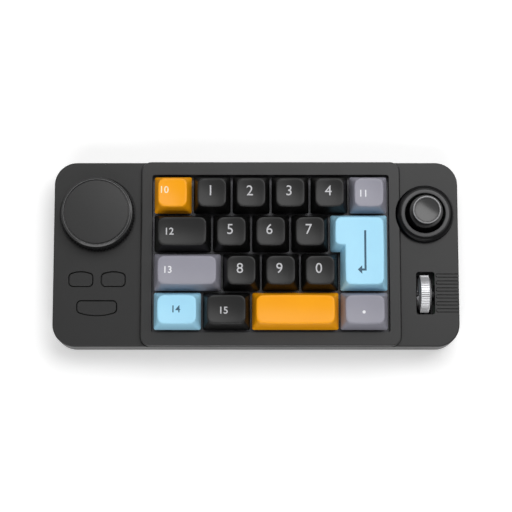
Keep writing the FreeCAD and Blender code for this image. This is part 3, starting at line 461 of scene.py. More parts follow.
def settle(shape):
    """Turns every face outwards."""
    bmesh.ops.recalc_face_normals(shape, faces=shape.faces)


def turned(profile, centre, **how):
    """New shape turned from a profile, as spun makes it, with its faces outwards."""
    shape = bmesh.new()
    spun(shape, profile, centre, **how)
    settle(shape)
    return shape


def rounded(points, radius, steps=4):
    """Profile with its inner corners rounded; radius is a length or one for each inner corner."""
    radii = radius if isinstance(radius, (list, tuple)) else [radius] * (len(points) - 2)
    flat = bmesh.new()
    verts = [flat.verts.new((x, y, 0)) for x, y in points]
    for pair in zip(verts, verts[1:]):
        flat.edges.new(pair)
    for vert, size in zip(verts[1:-1], radii):
        if size:
            bevel(flat, [vert], size, steps, affect="VERTICES")
    start = min(flat.verts, key=lambda v: (v.co - Vector((points[0][0], points[0][1], 0))).length)
    walk = [start]
    while True:
        onward = [e.other_vert(walk[-1]) for e in walk[-1].link_edges]
        onward = [v for v in onward if len(walk) < 2 or v is not walk[-2]]
        if not onward:
            break
        walk.append(onward[0])
    result = [(v.co.x, v.co.y) for v in walk]
    flat.free()
    return result


# Keys

KEY_ROWS = (
    (("key_escape", 1.0), ("key_1", 1.0), ("key_2", 1.0), ("key_3", 1.0), ("key_4", 1.0),
     ("key_delete", 1.0)),
    (("key_tab", 1.5), ("key_5", 1.0), ("key_6", 1.0), ("key_7", 1.0)),
    (("key_shift", 1.75), ("key_8", 1.0), ("key_9", 1.0), ("key_0", 1.0)),
    (("key_control", 1.25), ("key_alt", 1.25), ("key_space", 2.25), ("key_point", 1.25)),
)
# Widths in units of the pitch, lines at a rounded corner, cuts in each side that is longer than a length,
# how deep the dish is felt in a keycap's ceiling, as a share of it, and lines round the boss
GRID_COLUMNS = 6.0
ENTER_HEAD = 1.5
ENTER_FOOT = 1.25
CORNER_STEPS = 6
SIDE_CUTS = 3
SIDE_LENGTH = 1.2 * MM
DISH_FADE = 0.9
BOSS_STEPS = 32


def key_plan(look):
    """Name of each key to its low and high corner on the grid and the centre of its stem."""
    middle = middle_of("key_bezel")
    left = middle.x - GRID_COLUMNS * look.pitch / 2
    back = middle.y + len(KEY_ROWS) * look.pitch / 2
    plan = {}
    for row, keys in enumerate(KEY_ROWS):
        x = left
        for name, share in keys:
            low = Vector((x, back - (row + 1) * look.pitch))
            high = Vector((x + share * look.pitch, back - row * look.pitch))
            plan[name] = (low, high, (low + high) / 2)
            x += share * look.pitch
    right = left + GRID_COLUMNS * look.pitch
    low = Vector((right - ENTER_HEAD * look.pitch, back - 3 * look.pitch))
    high = Vector((right, back - look.pitch))
    stem = Vector((right - ENTER_FOOT * look.pitch / 2, back - 2 * look.pitch))
    plan["key_enter"] = (low, high, stem)
    return plan


def key_corners(name, look, low, high, inset):
    """Corners of a keycap's outline, drawn in from its cell, anticlockwise from the front left."""
    if name != "key_enter":
        return [
            (low.x + inset, low.y + inset), (high.x - inset, low.y + inset),
            (high.x - inset, high.y - inset), (low.x + inset, high.y - inset),
        ]
    step_x = high.x - ENTER_FOOT * look.pitch
    step_y = (low.y + high.y) / 2
    return [
        (step_x + inset, low.y + inset), (high.x - inset, low.y + inset), (high.x - inset, high.y - inset),
        (low.x + inset, high.y - inset), (low.x + inset, step_y + inset), (step_x + inset, step_y + inset),
    ]


def ring(shape, corners, radius, step_radius, z):
    """Flat face on the corners at height z, with every corner rounded and every side divided."""
    verts = [shape.verts.new((x, y, z)) for x, y in corners]
    face = shape.faces.new(verts)
    before = set(shape.faces) - {face}
    for chosen, size in ((verts[:5], radius), (verts[5:], step_radius)):
        if chosen:
            bevel(shape, chosen, size, CORNER_STEPS, affect="VERTICES")
    face = next(f for f in shape.faces if f not in before)
    sides = [e for e in face.edges if e.calc_length() > SIDE_LENGTH]
    bmesh.ops.subdivide_edges(shape, edges=sides, cuts=SIDE_CUTS)
    return next(f for f in shape.faces if f not in before)


def join_rings(shape, first, second):
    """Side faces between two rings, each corner joined to its own in the other ring."""
    ends = list(first.verts)
    others = list(second.verts)
    count = len(ends)
    if len(others) != count:
        raise RuntimeError("The rings of a keycap have different numbers of corners")

    def apart(shift):
        return sum((ends[i].co - others[(i + shift) % count].co).length for i in range(count))

    shift = min(range(count), key=apart)
    for index in range(count):
        after = (index + 1) % count
        shape.faces.new((ends[index], ends[after], others[(after + shift) % count],
                         others[(index + shift) % count]))


def dish_reach(look, low, high, stem):
    """Half sizes of the dish, from the stem to the middle of the far sides."""
    rim = look.gap / 2 + look.taper
    return max(high.x - stem.x, 0) - rim, (high.y - low.y) / 2 - rim


def dish_rise(look, reach, stem, x, y):
    """Height of the dish above its low point."""
    return look.dish * (((x - stem.x) / reach[0]) ** 2 + ((y - stem.y) / reach[1]) ** 2)


def cut_grid(shape, low, high, step):
    """Cuts a shape along evenly spaced upright planes in both directions."""
    for axis in (0, 1):
        count = max(2, round((high[axis] - low[axis]) / step))
        for index in range(1, count):
            place = Vector((0, 0, 0))
            place[axis] = low[axis] + (high[axis] - low[axis]) * index / count
            normal = Vector((0, 0, 0))
            normal[axis] = 1
            bmesh.ops.bisect_plane(
                shape, geom=shape.verts[:] + shape.edges[:] + shape.faces[:], dist=MERGE, plane_co=place,
                plane_no=normal,
            )


def keycap_shape(name, look, low, high, stem, foot_z):
    """Hollow keycap with drawn-in sides, rounded corners, a rounded rim and a dished top."""
    shape = bmesh.new()
    edge = look.gap / 2
    top_z = foot_z + look.height
    step = look.step_radius
    foot = ring(shape, key_corners(name, look, low, high, edge), look.foot_radius, step, foot_z)
    top = ring(shape, key_corners(name, look, low, high, edge + look.taper), look.top_radius, step, top_z)
    centre = (low + high) / 2
    half = (high - low) / 2 - Vector((edge + look.taper, edge + look.taper))
    for vert in top.verts:
        across = (vert.co.x - centre.x) / half.x
        along = (vert.co.y - centre.y) / half.y
        vert.co.x += look.bulge * across * max(0.0, 1 - along ** 2)
        vert.co.y += look.bulge * along * max(0.0, 1 - across ** 2)
    inner = look.foot_radius / 2
    mouth = ring(shape, key_corners(name, look, low, high, edge + look.wall), inner, step, foot_z)
    inner_z = top_z - look.ceiling
    roof_inset = edge + look.wall + look.taper
    roof = ring(shape, key_corners(name, look, low, high, roof_inset), inner, step, inner_z)
    for first, second in ((foot, top), (foot, mouth), (mouth, roof)):
        join_rings(shape, first, second)
    crown = list(top.edges)
    bmesh.ops.delete(shape, geom=[foot, mouth], context="FACES_ONLY")
    settle(shape)
    bevel(shape, crown, look.rim, 4)
    cut_grid(shape, low, high, look.cell)
    reach = dish_reach(look, low, high, stem)
    lowest = top_z - look.ceiling * DISH_FADE
    for vert in shape.verts:
        share = (vert.co.z - lowest) / (top_z - look.rim - lowest)
        share = min(1.0, max(0.0, share))
        vert.co.z += share * dish_rise(look, reach, stem, vert.co.x, vert.co.y)
    return shape


def add_slide(shape, look, low, high):
    """Hollow sliding block of a switch between two corners, open below for the spring."""
    size = high - low
    before = set(shape.faces)
    stretch = Matrix.Diagonal((size.x, size.y, size.z, 1.0))
    made = bmesh.ops.create_cube(shape, size=1.0, matrix=Matrix.Translation((low + high) / 2) @ stretch)
    edges = list({edge for vert in made["verts"] for edge in vert.link_edges})
    bevel(shape, edges, look.slide_edge, 1)
    foot = min((f for f in shape.faces if f not in before), key=lambda f: f.calc_center_median().z)
    bmesh.ops.inset_individual(shape, faces=[foot], thickness=look.slide_wall - look.slide_edge)
    sunk = bmesh.ops.extrude_discrete_faces(shape, faces=[foot])["faces"]
    bmesh.ops.translate(shape, verts=sunk[0].verts, vec=(0, 0, look.pocket_depth))


def add_stem(shape, look, stem, foot_z, low_z):
    """Sliding block of the switch under a keycap, and the round boss above it."""
    slide_top = foot_z + look.slide_lift
    reach = Vector((look.slide_length / 2, look.slide_depth / 2, 0))
    middle = Vector((stem.x, stem.y, 0))
    add_slide(shape, look, middle - reach + Vector((0, 0, low_z)), middle + reach + Vector((0, 0, slide_top)))
    top_z = foot_z + look.height - look.ceiling / 2
    depth = top_z - slide_top - MERGE
    bmesh.ops.create_cone(
        shape, cap_ends=True, segments=BOSS_STEPS, radius1=look.boss_radius, radius2=look.boss_radius,
        depth=depth, matrix=Matrix.Translation((stem.x, stem.y, top_z - depth / 2)),
    )


KEY_COLOURS = {
    "key_escape": "orange", "key_space": "orange", "key_delete": "grey", "key_shift": "grey",
    "key_point": "grey", "key_control": "blue", "key_enter": "blue",
}


def key_material(look, name):
    """Satin finish of a keycap in its colour."""
    colour = KEY_COLOURS.get(name, "black")
    return finish("keycap_" + colour, getattr(look, colour), 0.34, grain=0.35, bump=0.008, spread=0.025,
                  specular=look.shine)


# Key markings

PRINTS = {"orange": "cream", "grey": "white", "blue": "slate", "black": "light"}
DIGIT_KEYS = ("key_1", "key_2", "key_3", "key_4", "key_5", "key_6", "key_7", "key_8", "key_9", "key_0")
# Number, the side it is placed from or the middle, and its place there in millimetres
NUMBER_KEYS = {
    "key_escape": ("10", "left", 0.94, 1.4), "key_delete": ("11", "left", 2.35, -0.4),
    "key_tab": ("12", "left", 3.5, 0.0), "key_shift": ("13", "left", 2.9, 0.3),
    "key_control": ("14", "middle", -0.2, 0.25), "key_alt": ("15", "middle", -1.1, -0.4),
}
# Places of the other markings from the middle of the key or its stem, in millimetres
DIGIT_PLACE = (-0.65, 1.05)
ARROW_PLACE = (-1.2, -0.7)
DOT_PLACE = (-0.5, -1.25)
# How far a marking stands over its keycap, its thickness and mesh step; for the lettering, the distance
# that joins points and how much its lines swell; the arrow's head in line widths; lines round the dot
PRINT_RISE = 0.03 * MM
PRINT_THICKNESS = 0.12 * MM
PRINT_CELL = 1.0 * MM
TEXT_MERGE = 0.0001
NUMBER_SWELL = 0.012
ARROW_HEAD = 2.1
DOT_STEPS = 24


def extent(shape):
    """Low and high corner of a flat shape."""
    across = [v.co.x for v in shape.verts]
    along = [v.co.y for v in shape.verts]
    return Vector((min(across), min(along))), Vector((max(across), max(along)))


def text_shape(text, height, swell=0.0):
    """Flat mesh of a number, centred on the origin, with the given height and swollen lines."""
    curve = bpy.data.curves.new("marking", "FONT")
    curve.body = text
    curve.size = 1.0
    curve.resolution_u = 5
    curve.offset = swell
    holder = bpy.data.objects.new("marking", curve)
    bpy.context.scene.collection.objects.link(holder)
    bpy.context.view_layer.update()
    mesh = bpy.data.meshes.new_from_object(holder)
    bpy.data.objects.remove(holder)
    shape = bmesh.new()
    shape.from_mesh(mesh)
    bpy.data.meshes.remove(mesh)
    bmesh.ops.remove_doubles(shape, verts=shape.verts, dist=TEXT_MERGE)
    low, high = extent(shape)
    scale = height / (high.y - low.y)
    middle = (low + high) / 2
    bmesh.ops.translate(shape, verts=shape.verts, vec=(-middle.x, -middle.y, 0))
    bmesh.ops.scale(shape, verts=shape.verts, vec=(scale, scale, 1))
    return shape


def drape(shape, look, reach, stem, dish_z, x, y):
    """Lays a flat marking centred on x and y over a dish and gives it a thickness."""
    bmesh.ops.translate(shape, verts=shape.verts, vec=(x, y, 0))
    low, high = extent(shape)
    cut_grid(shape, low, high, PRINT_CELL)
    for face in shape.faces:
        if face.normal.z < 0:
            face.normal_flip()
    faces = shape.faces[:]
    lifted = bmesh.ops.extrude_face_region(shape, geom=faces)
    tops = [g for g in lifted["geom"] if isinstance(g, bmesh.types.BMVert)]
    raised = set(tops)
    for vert in shape.verts:
        surface = dish_z + dish_rise(look, reach, stem, vert.co.x, vert.co.y)
        vert.co.z = surface + (PRINT_RISE if vert in raised else PRINT_RISE - PRINT_THICKNESS)
    settle(shape)


def arrow_shape(width, height, stroke):
    """Flat bent arrow that runs down and then points left, centred on the origin."""
    shape = bmesh.new()
    half_w = width / 2
    half_h = height / 2
    head = stroke * ARROW_HEAD
    y = -half_h + head
    outline = [
        (half_w - stroke, half_h), (half_w - stroke, y + stroke / 2), (-half_w + head, y + stroke / 2),
        (-half_w + head, y + head), (-half_w, y), (-half_w + head, y - head),
        (-half_w + head, y - stroke / 2), (half_w, y - stroke / 2), (half_w, half_h),
    ]
    face = shape.faces.new([shape.verts.new((px, py, 0)) for px, py in outline])
    face.normal_update()
    bmesh.ops.triangulate(shape, faces=[face])
    return shape


def dot_shape(radius):
    """Flat round dot, centred on the origin."""
    shape = bmesh.new()
    bmesh.ops.create_circle(shape, cap_ends=True, segments=DOT_STEPS, radius=radius)
    return shape


# Stage: the camera's sensor in millimetres and nearest view in metres, the floor's half width in metres
# and its drift, and each lamp's name, place and size in metres and power in watts

SENSOR_WIDTH = 36.0
CLIP_START = 0.01
FLOOR_REACH = 4.0
FLOOR_DRIFT = 2.0
FLOOR_SPREAD = 0.01
PANELS = (
    ("back_panel", (0.27, 0.38, 0.85), (0.97, 0.68), 7.2),
    ("left_panel", (-0.5, 0.35, 0.45), (0.5, 0.08), 0.5),
    ("low_front_panel", (-0.25, -0.87, 0.32), (1.0, 0.3), 1.6),
    ("high_front_panel", (-0.1, -0.62, 0.75), (1.0, 0.3), 2.6),
)


# Operators

class KEYPAD_OT_stage(bpy.types.Operator):
    """Camera, pale floor and soft light"""
    bl_idname = "keypad.stage"
    bl_label = "Stage"

    def execute(self, context):
        look = context.scene.keypad_stage
        eye = Vector(look.eye)
        aim = Vector(look.aim)
        camera = bpy.data.objects.new("camera", bpy.data.cameras.new("camera"))
        camera.data.lens = look.lens
        camera.data.sensor_width = SENSOR_WIDTH
        camera.data.clip_start = CLIP_START
        camera.location = eye
        camera.rotation_mode = "QUATERNION"
        camera.rotation_quaternion = (aim - eye).to_track_quat("-Z", "Y")
        context.scene.collection.objects.link(camera)
        context.scene.camera = camera
        self.floor(context, look)
        self.world(context, look)
        for name, place, size, power in PANELS:
            self.lamp(context, name, place, size, power)
        context.scene.view_settings.view_transform = "Standard"
        return {"FINISHED"}

    def lamp(self, context, name, place, size, power):
        """Rectangular panel lamp that faces the keypad."""
        data = bpy.data.lights.new(name, "AREA")
        data.shape = "RECTANGLE"
        data.size, data.size_y = size
        data.energy = power
        lamp = bpy.data.objects.new(name, data)
        lamp.location = place
        lamp.rotation_mode = "QUATERNION"
        lamp.rotation_quaternion = Vector(place).to_track_quat("Z", "Y")
        context.scene.collection.objects.link(lamp)

    def seen(self, tree):
        """One where the camera sees a surface, directly, mirrored or through glass, and nought elsewhere."""
        path = add_node(tree, "LightPath", {})
        value = path.outputs["Is Camera Ray"]
        for other in ("Is Glossy Ray", "Is Transmission Ray"):
            larger = add_node(tree, "Math", {0: value, 1: path.outputs[other]}, operation="MAXIMUM")
            value = larger.outputs[0]
        return value

    def floor(self, context, look):
        """Wide table top that keeps the shadow, shows white elsewhere and is clear from below."""
        shape = bmesh.new()
        bmesh.ops.create_grid(shape, x_segments=1, y_segments=1, size=FLOOR_REACH)
        mesh = bpy.data.meshes.new("floor")
        shape.to_mesh(mesh)
        shape.free()
        floor = bpy.data.objects.new("floor", mesh)
        context.scene.collection.objects.link(floor)
        material = bpy.data.materials.new("floor")
        material.use_nodes = True
        tree = material.node_tree
        tree.nodes.clear()
        coords = add_node(tree, "TexCoord", {}).outputs["Object"]
        matte = add_node(tree, "BsdfDiffuse", {
            "Color": varied(tree, coords, look.floor_colour, FLOOR_DRIFT, FLOOR_SPREAD)})
        reach = add_node(tree, "VectorMath", {0: coords}, operation="LENGTH")
        rise = add_node(tree, "MapRange", {
            "Value": reach.outputs["Value"], "From Min": look.glow_start, "From Max": look.glow_full,
            "To Min": look.floor_glow,
        })
        share = {0: rise.outputs["Result"], 1: self.seen(tree)}
        strength = add_node(tree, "Math", share, operation="MULTIPLY")
        glow = add_node(tree, "Emission", {"Strength": strength.outputs[0]})
        both = add_node(tree, "AddShader", {0: matte.outputs[0], 1: glow.outputs[0]})
        below = add_node(tree, "NewGeometry", {}).outputs["Backfacing"]
        clear = add_node(tree, "BsdfTransparent", {})
        one_way = add_node(tree, "MixShader", {"Fac": below, 1: both.outputs[0], 2: clear.outputs[0]})
        add_node(tree, "OutputMaterial", {"Surface": one_way.outputs[0]})
        paint(floor, material)

    def world(self, context, look):
        """Even light from all round, white where the camera or a reflection sees it."""
        world = bpy.data.worlds.new("studio")
        context.scene.world = world
        world.use_nodes = True
        tree = world.node_tree
        level = add_node(tree, "MapRange", {"Value": self.seen(tree), "To Min": look.ambient})
        wire(tree, tree.nodes["Background"], {"Color": (1, 1, 1, 1), "Strength": level.outputs["Result"]})


class KEYPAD_OT_case(bpy.types.Operator):
    """Both shells, the bezel and the feet"""
    bl_idname = "keypad.case"
    bl_label = "Case"

    def execute(self, context):
        look = context.scene.keypad_case
        plastic = moulded("case_plastic", look.case_colour, look.plastic_shine)
        refined("top_case", "upper_shell", plastic, look.edge_width)
        refined("bottom_case", "lower_shell", plastic, look.edge_width)
        satin = moulded("bezel_plastic", look.bezel_colour, look.plastic_shine)
        refined("key_bezel", "bezel", satin, look.edge_width)
        foot = finish("foot_rubber", look.foot_colour, 0.8, grain=0.4, bump=0.03, specular=look.plastic_shine)
        refined("rubber_feet", "feet", foot, 3 * look.edge_width)
        return {"FINISHED"}


# Lines round a screw, rounding of its tip and neck, half the angle that a side of its socket takes up, and
# the slope past which a face counts as turned down
SCREW_STEPS = 48
SCREW_TIP = 0.3 * MM
SCREW_NECK = 0.2 * MM
HALF_SIDE = math.radians(30)
FACES_DOWN = -0.9


class KEYPAD_OT_screws(bpy.types.Operator):
    """Screws in the underside, with six-sided sockets"""
    bl_idname = "keypad.screws"
    bl_label = "Screws"

    def execute(self, context):
        look = context.scene.keypad_case
        node = "case_screws"
        low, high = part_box(node)
        shape = bmesh.new()
        for centre in self.head_places(node, low.z):
            self.add_screw(shape, look, centre, low.z, high.z)
        settle(shape)
        steel = finish("screw_steel", look.steel_colour, 0.35, grain=0.2, bump=0.01, metallic=1.0)
        piece_of("screws", shape, steel, node)
        return {"FINISHED"}

    def head_places(self, node, low_z):
        """Middle of each screw head's flat end."""
        copy = merged(node)
        places = [
            face.calc_center_median() for face in copy.faces
            if face.normal.z < FACES_DOWN and abs(face.calc_center_median().z - low_z) < MERGE
        ]
        copy.free()
        return places

    def add_screw(self, shape, look, centre, low_z, high_z):
        """One screw: shank, rounded head and socket."""
        head = look.screw_head
        neck_z = low_z + look.screw_head_height
        profile = rounded([
            (0, high_z), (look.screw_shank, high_z), (look.screw_shank, neck_z), (head, neck_z),
            (head, low_z), (0, low_z),
        ], [SCREW_TIP, 0, SCREW_NECK, look.screw_round])
        one = bmesh.new()
        spun(one, profile, centre, steps=SCREW_STEPS)
        end = [f for f in one.faces if abs(f.calc_center_median().z - low_z) < MERGE]
        face = bmesh.ops.dissolve_faces(one, faces=end)["region"][0]
        socket = look.screw_socket / 2
        bmesh.ops.inset_individual(one, faces=[face], thickness=head - look.screw_round - socket)
        for vert in face.verts:
            flat = (vert.co - centre).xy
            turn = math.atan2(flat.y, flat.x) % (2 * HALF_SIDE) - HALF_SIDE
            reach = socket * math.cos(HALF_SIDE) / math.cos(turn)
            vert.co.xy = centre.xy + flat.normalized() * reach
        sunk = bmesh.ops.extrude_discrete_faces(one, faces=[face])["faces"]
        bmesh.ops.translate(one, verts=sunk[0].verts, vec=(0, 0, look.socket_depth))
        mesh = bpy.data.meshes.new("screw")
        one.to_mesh(mesh)
        one.free()
        shape.from_mesh(mesh)
        bpy.data.meshes.remove(mesh)


class KEYPAD_OT_insides(bpy.types.Operator):
    """Finishes for the board, the plate, the switches and the other inner parts"""
    bl_idname = "keypad.insides"
    bl_label = "Inside parts"

    def execute(self, context):
        look = context.scene.keypad_case
        dark = finish("inner_plastic", look.dark_colour, 0.5, grain=0.3, bump=0.01,
                      specular=look.plastic_shine)
        steel = finish("inner_steel", look.steel_colour, 0.35, grain=0.3, bump=0.006, metallic=1.0,
                       stretch=(0.2, 1.0, 1.0))
        plate = finish("plate_metal", look.plate_colour, 0.35, grain=0.3, bump=0.01, metallic=1.0)
        board = finish("board_laminate", look.board_colour, 0.4, grain=0.5, bump=0.01, spread=0.1)
        spring = finish("spring_steel", look.steel_colour, 0.3, grain=0.2, bump=0.02, metallic=1.0,
                        stretch=(0.05, 0.05, 1.0))
        chosen = {
            "board_laminate": board, "plate_steel": plate, "spring_steel": spring, "port_steel": steel,
            "shaft_metal": plate,
        }
        for node, shown in frame["nodes"].items():
            if not shown.hide_render:
                paint(shown, chosen.get(slot_of(node), dark))
        return {"FINISHED"}


class KEYPAD_OT_keycaps(bpy.types.Operator):
    """All the dished keycaps with the stems of their switches"""
    bl_idname = "keypad.keycaps"
    bl_label = "Keycaps"

    def execute(self, context):
        look = context.scene.keypad_keys
        foot_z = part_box("key_bezel")[1].z - look.lift
        for name, (low, high, stem) in key_plan(look).items():
            shape = keycap_shape(name, look, low, high, stem, foot_z)
            add_stem(shape, look, stem, foot_z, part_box(name)[0].z)
            settle(shape)
            piece_of("cap_" + name[4:], shape, key_material(look, name), name, angle=CAP_SHARP)
        return {"FINISHED"}


class KEYPAD_OT_markings(bpy.types.Operator):
    """Plain numbers, a dot and an arrow on the keycaps"""
    bl_idname = "keypad.markings"
    bl_label = "Key markings"

    def execute(self, context):
        look = context.scene.keypad_keys
        for name, (low, high, stem) in key_plan(look).items():
            middle = (low + high) / 2
            if name in DIGIT_KEYS:
                shape = text_shape(name[4:], look.digit_height)
                place = middle + Vector(DIGIT_PLACE) * MM
            elif name in NUMBER_KEYS:
                text, side, x, y = NUMBER_KEYS[name]
                shape = text_shape(text, look.number_height, NUMBER_SWELL)
                place = middle + Vector((x, y)) * MM
                if side == "left":
                    half = max(v.co.x for v in shape.verts)
                    place.x = low.x + look.gap / 2 + look.taper + x * MM + half
            elif name == "key_enter":
                shape = arrow_shape(look.arrow_width, look.arrow_height, look.arrow_stroke)
                place = stem + Vector(ARROW_PLACE) * MM
            elif name == "key_point":
                shape = dot_shape(look.dot_radius)
                place = middle + Vector(DOT_PLACE) * MM
            else:
                continue
            self.mark(look, name, shape, low, high, stem, place)
        return {"FINISHED"}

    def mark(self, look, name, shape, low, high, stem, place):
        """One marking laid on a keycap."""
        dish_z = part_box("key_bezel")[1].z - look.lift + look.height
        drape(shape, look, dish_reach(look, low, high, stem), stem, dish_z, place.x, place.y)
        tint = PRINTS[KEY_COLOURS.get(name, "black")]
        ink = finish("print_" + tint, getattr(look, "print_" + tint), 0.5, grain=0.3, bump=0.004, spread=0.02,
                     specular=look.shine)
        piece_of("mark_" + name[4:], shape, ink, name, stands=False, slot="legend_" + tint)


# Lines round the disc and its edge, lines for each rib, rounding of the edge's two corners, width of the
# other soft edges, depth of the foot band in knurl depths, and the air over the shaft
DIAL_STEPS = 160
LINES_PER_RIB = 4
RIM_INNER = 0.08 * MM
RIM_OUTER = 0.15 * MM
SOFT = 0.12 * MM
ROOT_SHARE = 1.3
BORE_OVER = 0.02 * MM


class KEYPAD_OT_dial(bpy.types.Operator):
    """Knurled dial with its cap disc and the edge round it, whose lighter grey is painted sheen"""
    bl_idname = "keypad.dial"
    bl_label = "Dial"

    def execute(self, context):
        look = context.scene.keypad_dial
        shine = context.scene.keypad_case.plastic_shine
        grip = finish("dial_grip", look.grip_colour, 0.2, grain=0.22, bump=0.003, spread=0.03,
                      specular=2 * shine)
        plastic = finish("dial_disc", look.disc_colour, 0.42, grain=0.22, bump=0.01, spread=0.03,
                         specular=shine)
        # Lighter grey on the dial's edge: painted sheen
        bright = finish("dial_edge", look.edge_colour, 0.25, grain=0.22, bump=0.002, spread=0.02)
        low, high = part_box("dial_knob")
        cap_low, cap_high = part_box("dial_cap")
        centre = middle_of("dial_cap")
        cap_radius = (cap_high.x - cap_low.x) / 2
        disc_radius = cap_radius - look.disc_inset
        inner = disc_radius + look.groove_width
        outer = inner + look.edge_width
        base_z = high.z - look.edge_height
        edge = turned(rounded([
            (inner, base_z), (inner, high.z), (outer, high.z), (outer, base_z),
        ], [RIM_INNER, RIM_OUTER]), centre, steps=DIAL_STEPS, closed=True)
        piece_of("dial_edge", edge, bright, "dial_knob", stands=False)
        piece_of("dial_grip", self.grip(look, low, high, centre, outer, cap_low.z), grip, "dial_knob")
        disc = turned(rounded([
            (0, cap_low.z), (disc_radius, cap_low.z), (disc_radius, cap_high.z), (0, cap_high.z),
        ], [0, SOFT]), centre, steps=DIAL_STEPS)
        piece_of("dial_disc", disc, plastic, "dial_cap")
        return {"FINISHED"}

    def grip(self, look, low, high, centre, outer, seat_z):
        """Hollow dial with a hub; every other pair of the side's lines is drawn in to make the knurls."""
        radius = (high.x - low.x) / 2
        foot_z = low.z
        band_z = foot_z + look.foot_band
        slope_z = high.z - look.shoulder_drop
        knurl_z = slope_z - look.shoulder_edge
        ceiling = high.z - look.top_wall
        root = radius - ROOT_SHARE * look.knurl_depth
        bore_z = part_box("dial_shaft")[1].z + BORE_OVER
        top_radius = radius - look.draft
        profile = [
            (0, bore_z), (look.bore_radius, bore_z), (look.bore_radius, foot_z), (look.hub_radius, foot_z),
            (look.hub_radius, ceiling), (radius - look.wall, ceiling), (radius - look.wall, foot_z),
            (root, foot_z), (root, band_z), (radius, band_z), (top_radius, knurl_z - SOFT),
            (top_radius - look.knurl_depth - SOFT, knurl_z), (top_radius - SOFT, knurl_z + SOFT),
            (top_radius - SOFT, slope_z - SOFT / 2), (top_radius - 2 * SOFT, slope_z),
            (outer, high.z - SOFT), (outer, high.z - look.edge_height),
            (outer - look.edge_width / 2, high.z - look.edge_height), (outer - look.edge_width / 2, seat_z),
            (0, seat_z),
        ]
        steps = look.knurls * LINES_PER_RIB
        shape = bmesh.new()
        spun(shape, profile, centre, steps=steps)
        for vert in shape.verts:
            flat = (vert.co - centre).xy
            on_side = band_z - MERGE < vert.co.z < knurl_z - SOFT / 2 and flat.length > root + MERGE
            if on_side and self.in_gap(flat, steps):
                vert.co.xy = centre.xy + flat * (1 - look.knurl_depth / flat.length)
        settle(shape)
        return shape

    def in_gap(self, flat, steps):
        """Whether a point round the axis lies in one of the gaps, two lines wide, between the ribs."""
        return round(math.atan2(flat.y, flat.x) / (2 * math.pi) * steps) % LINES_PER_RIB >= 2


class KEYPAD_OT_buttons(bpy.types.Operator):
    """Three flush buttons in the left wing"""
    bl_idname = "keypad.buttons"
    bl_label = "Buttons"

    def execute(self, context):
        look = context.scene.keypad_case
        plastic = moulded("button_plastic", look.button_colour, look.plastic_shine)
        for side in ("left", "right", "wide"):
            refined(side + "_button", side + "_key", plastic, look.edge_width)
        return {"FINISHED"}


# Rounding of the corners from the flange up to the dish, and of the polished edge as a share of its width
FLANGE_FOOT = 0.2 * MM
WAIST_CORNER = 0.6 * MM
HEAD_FOOT = 0.3 * MM
LAND_CORNER = 0.08 * MM
DISH_CORNER = 0.12 * MM
POLISH_SHARE = 0.6


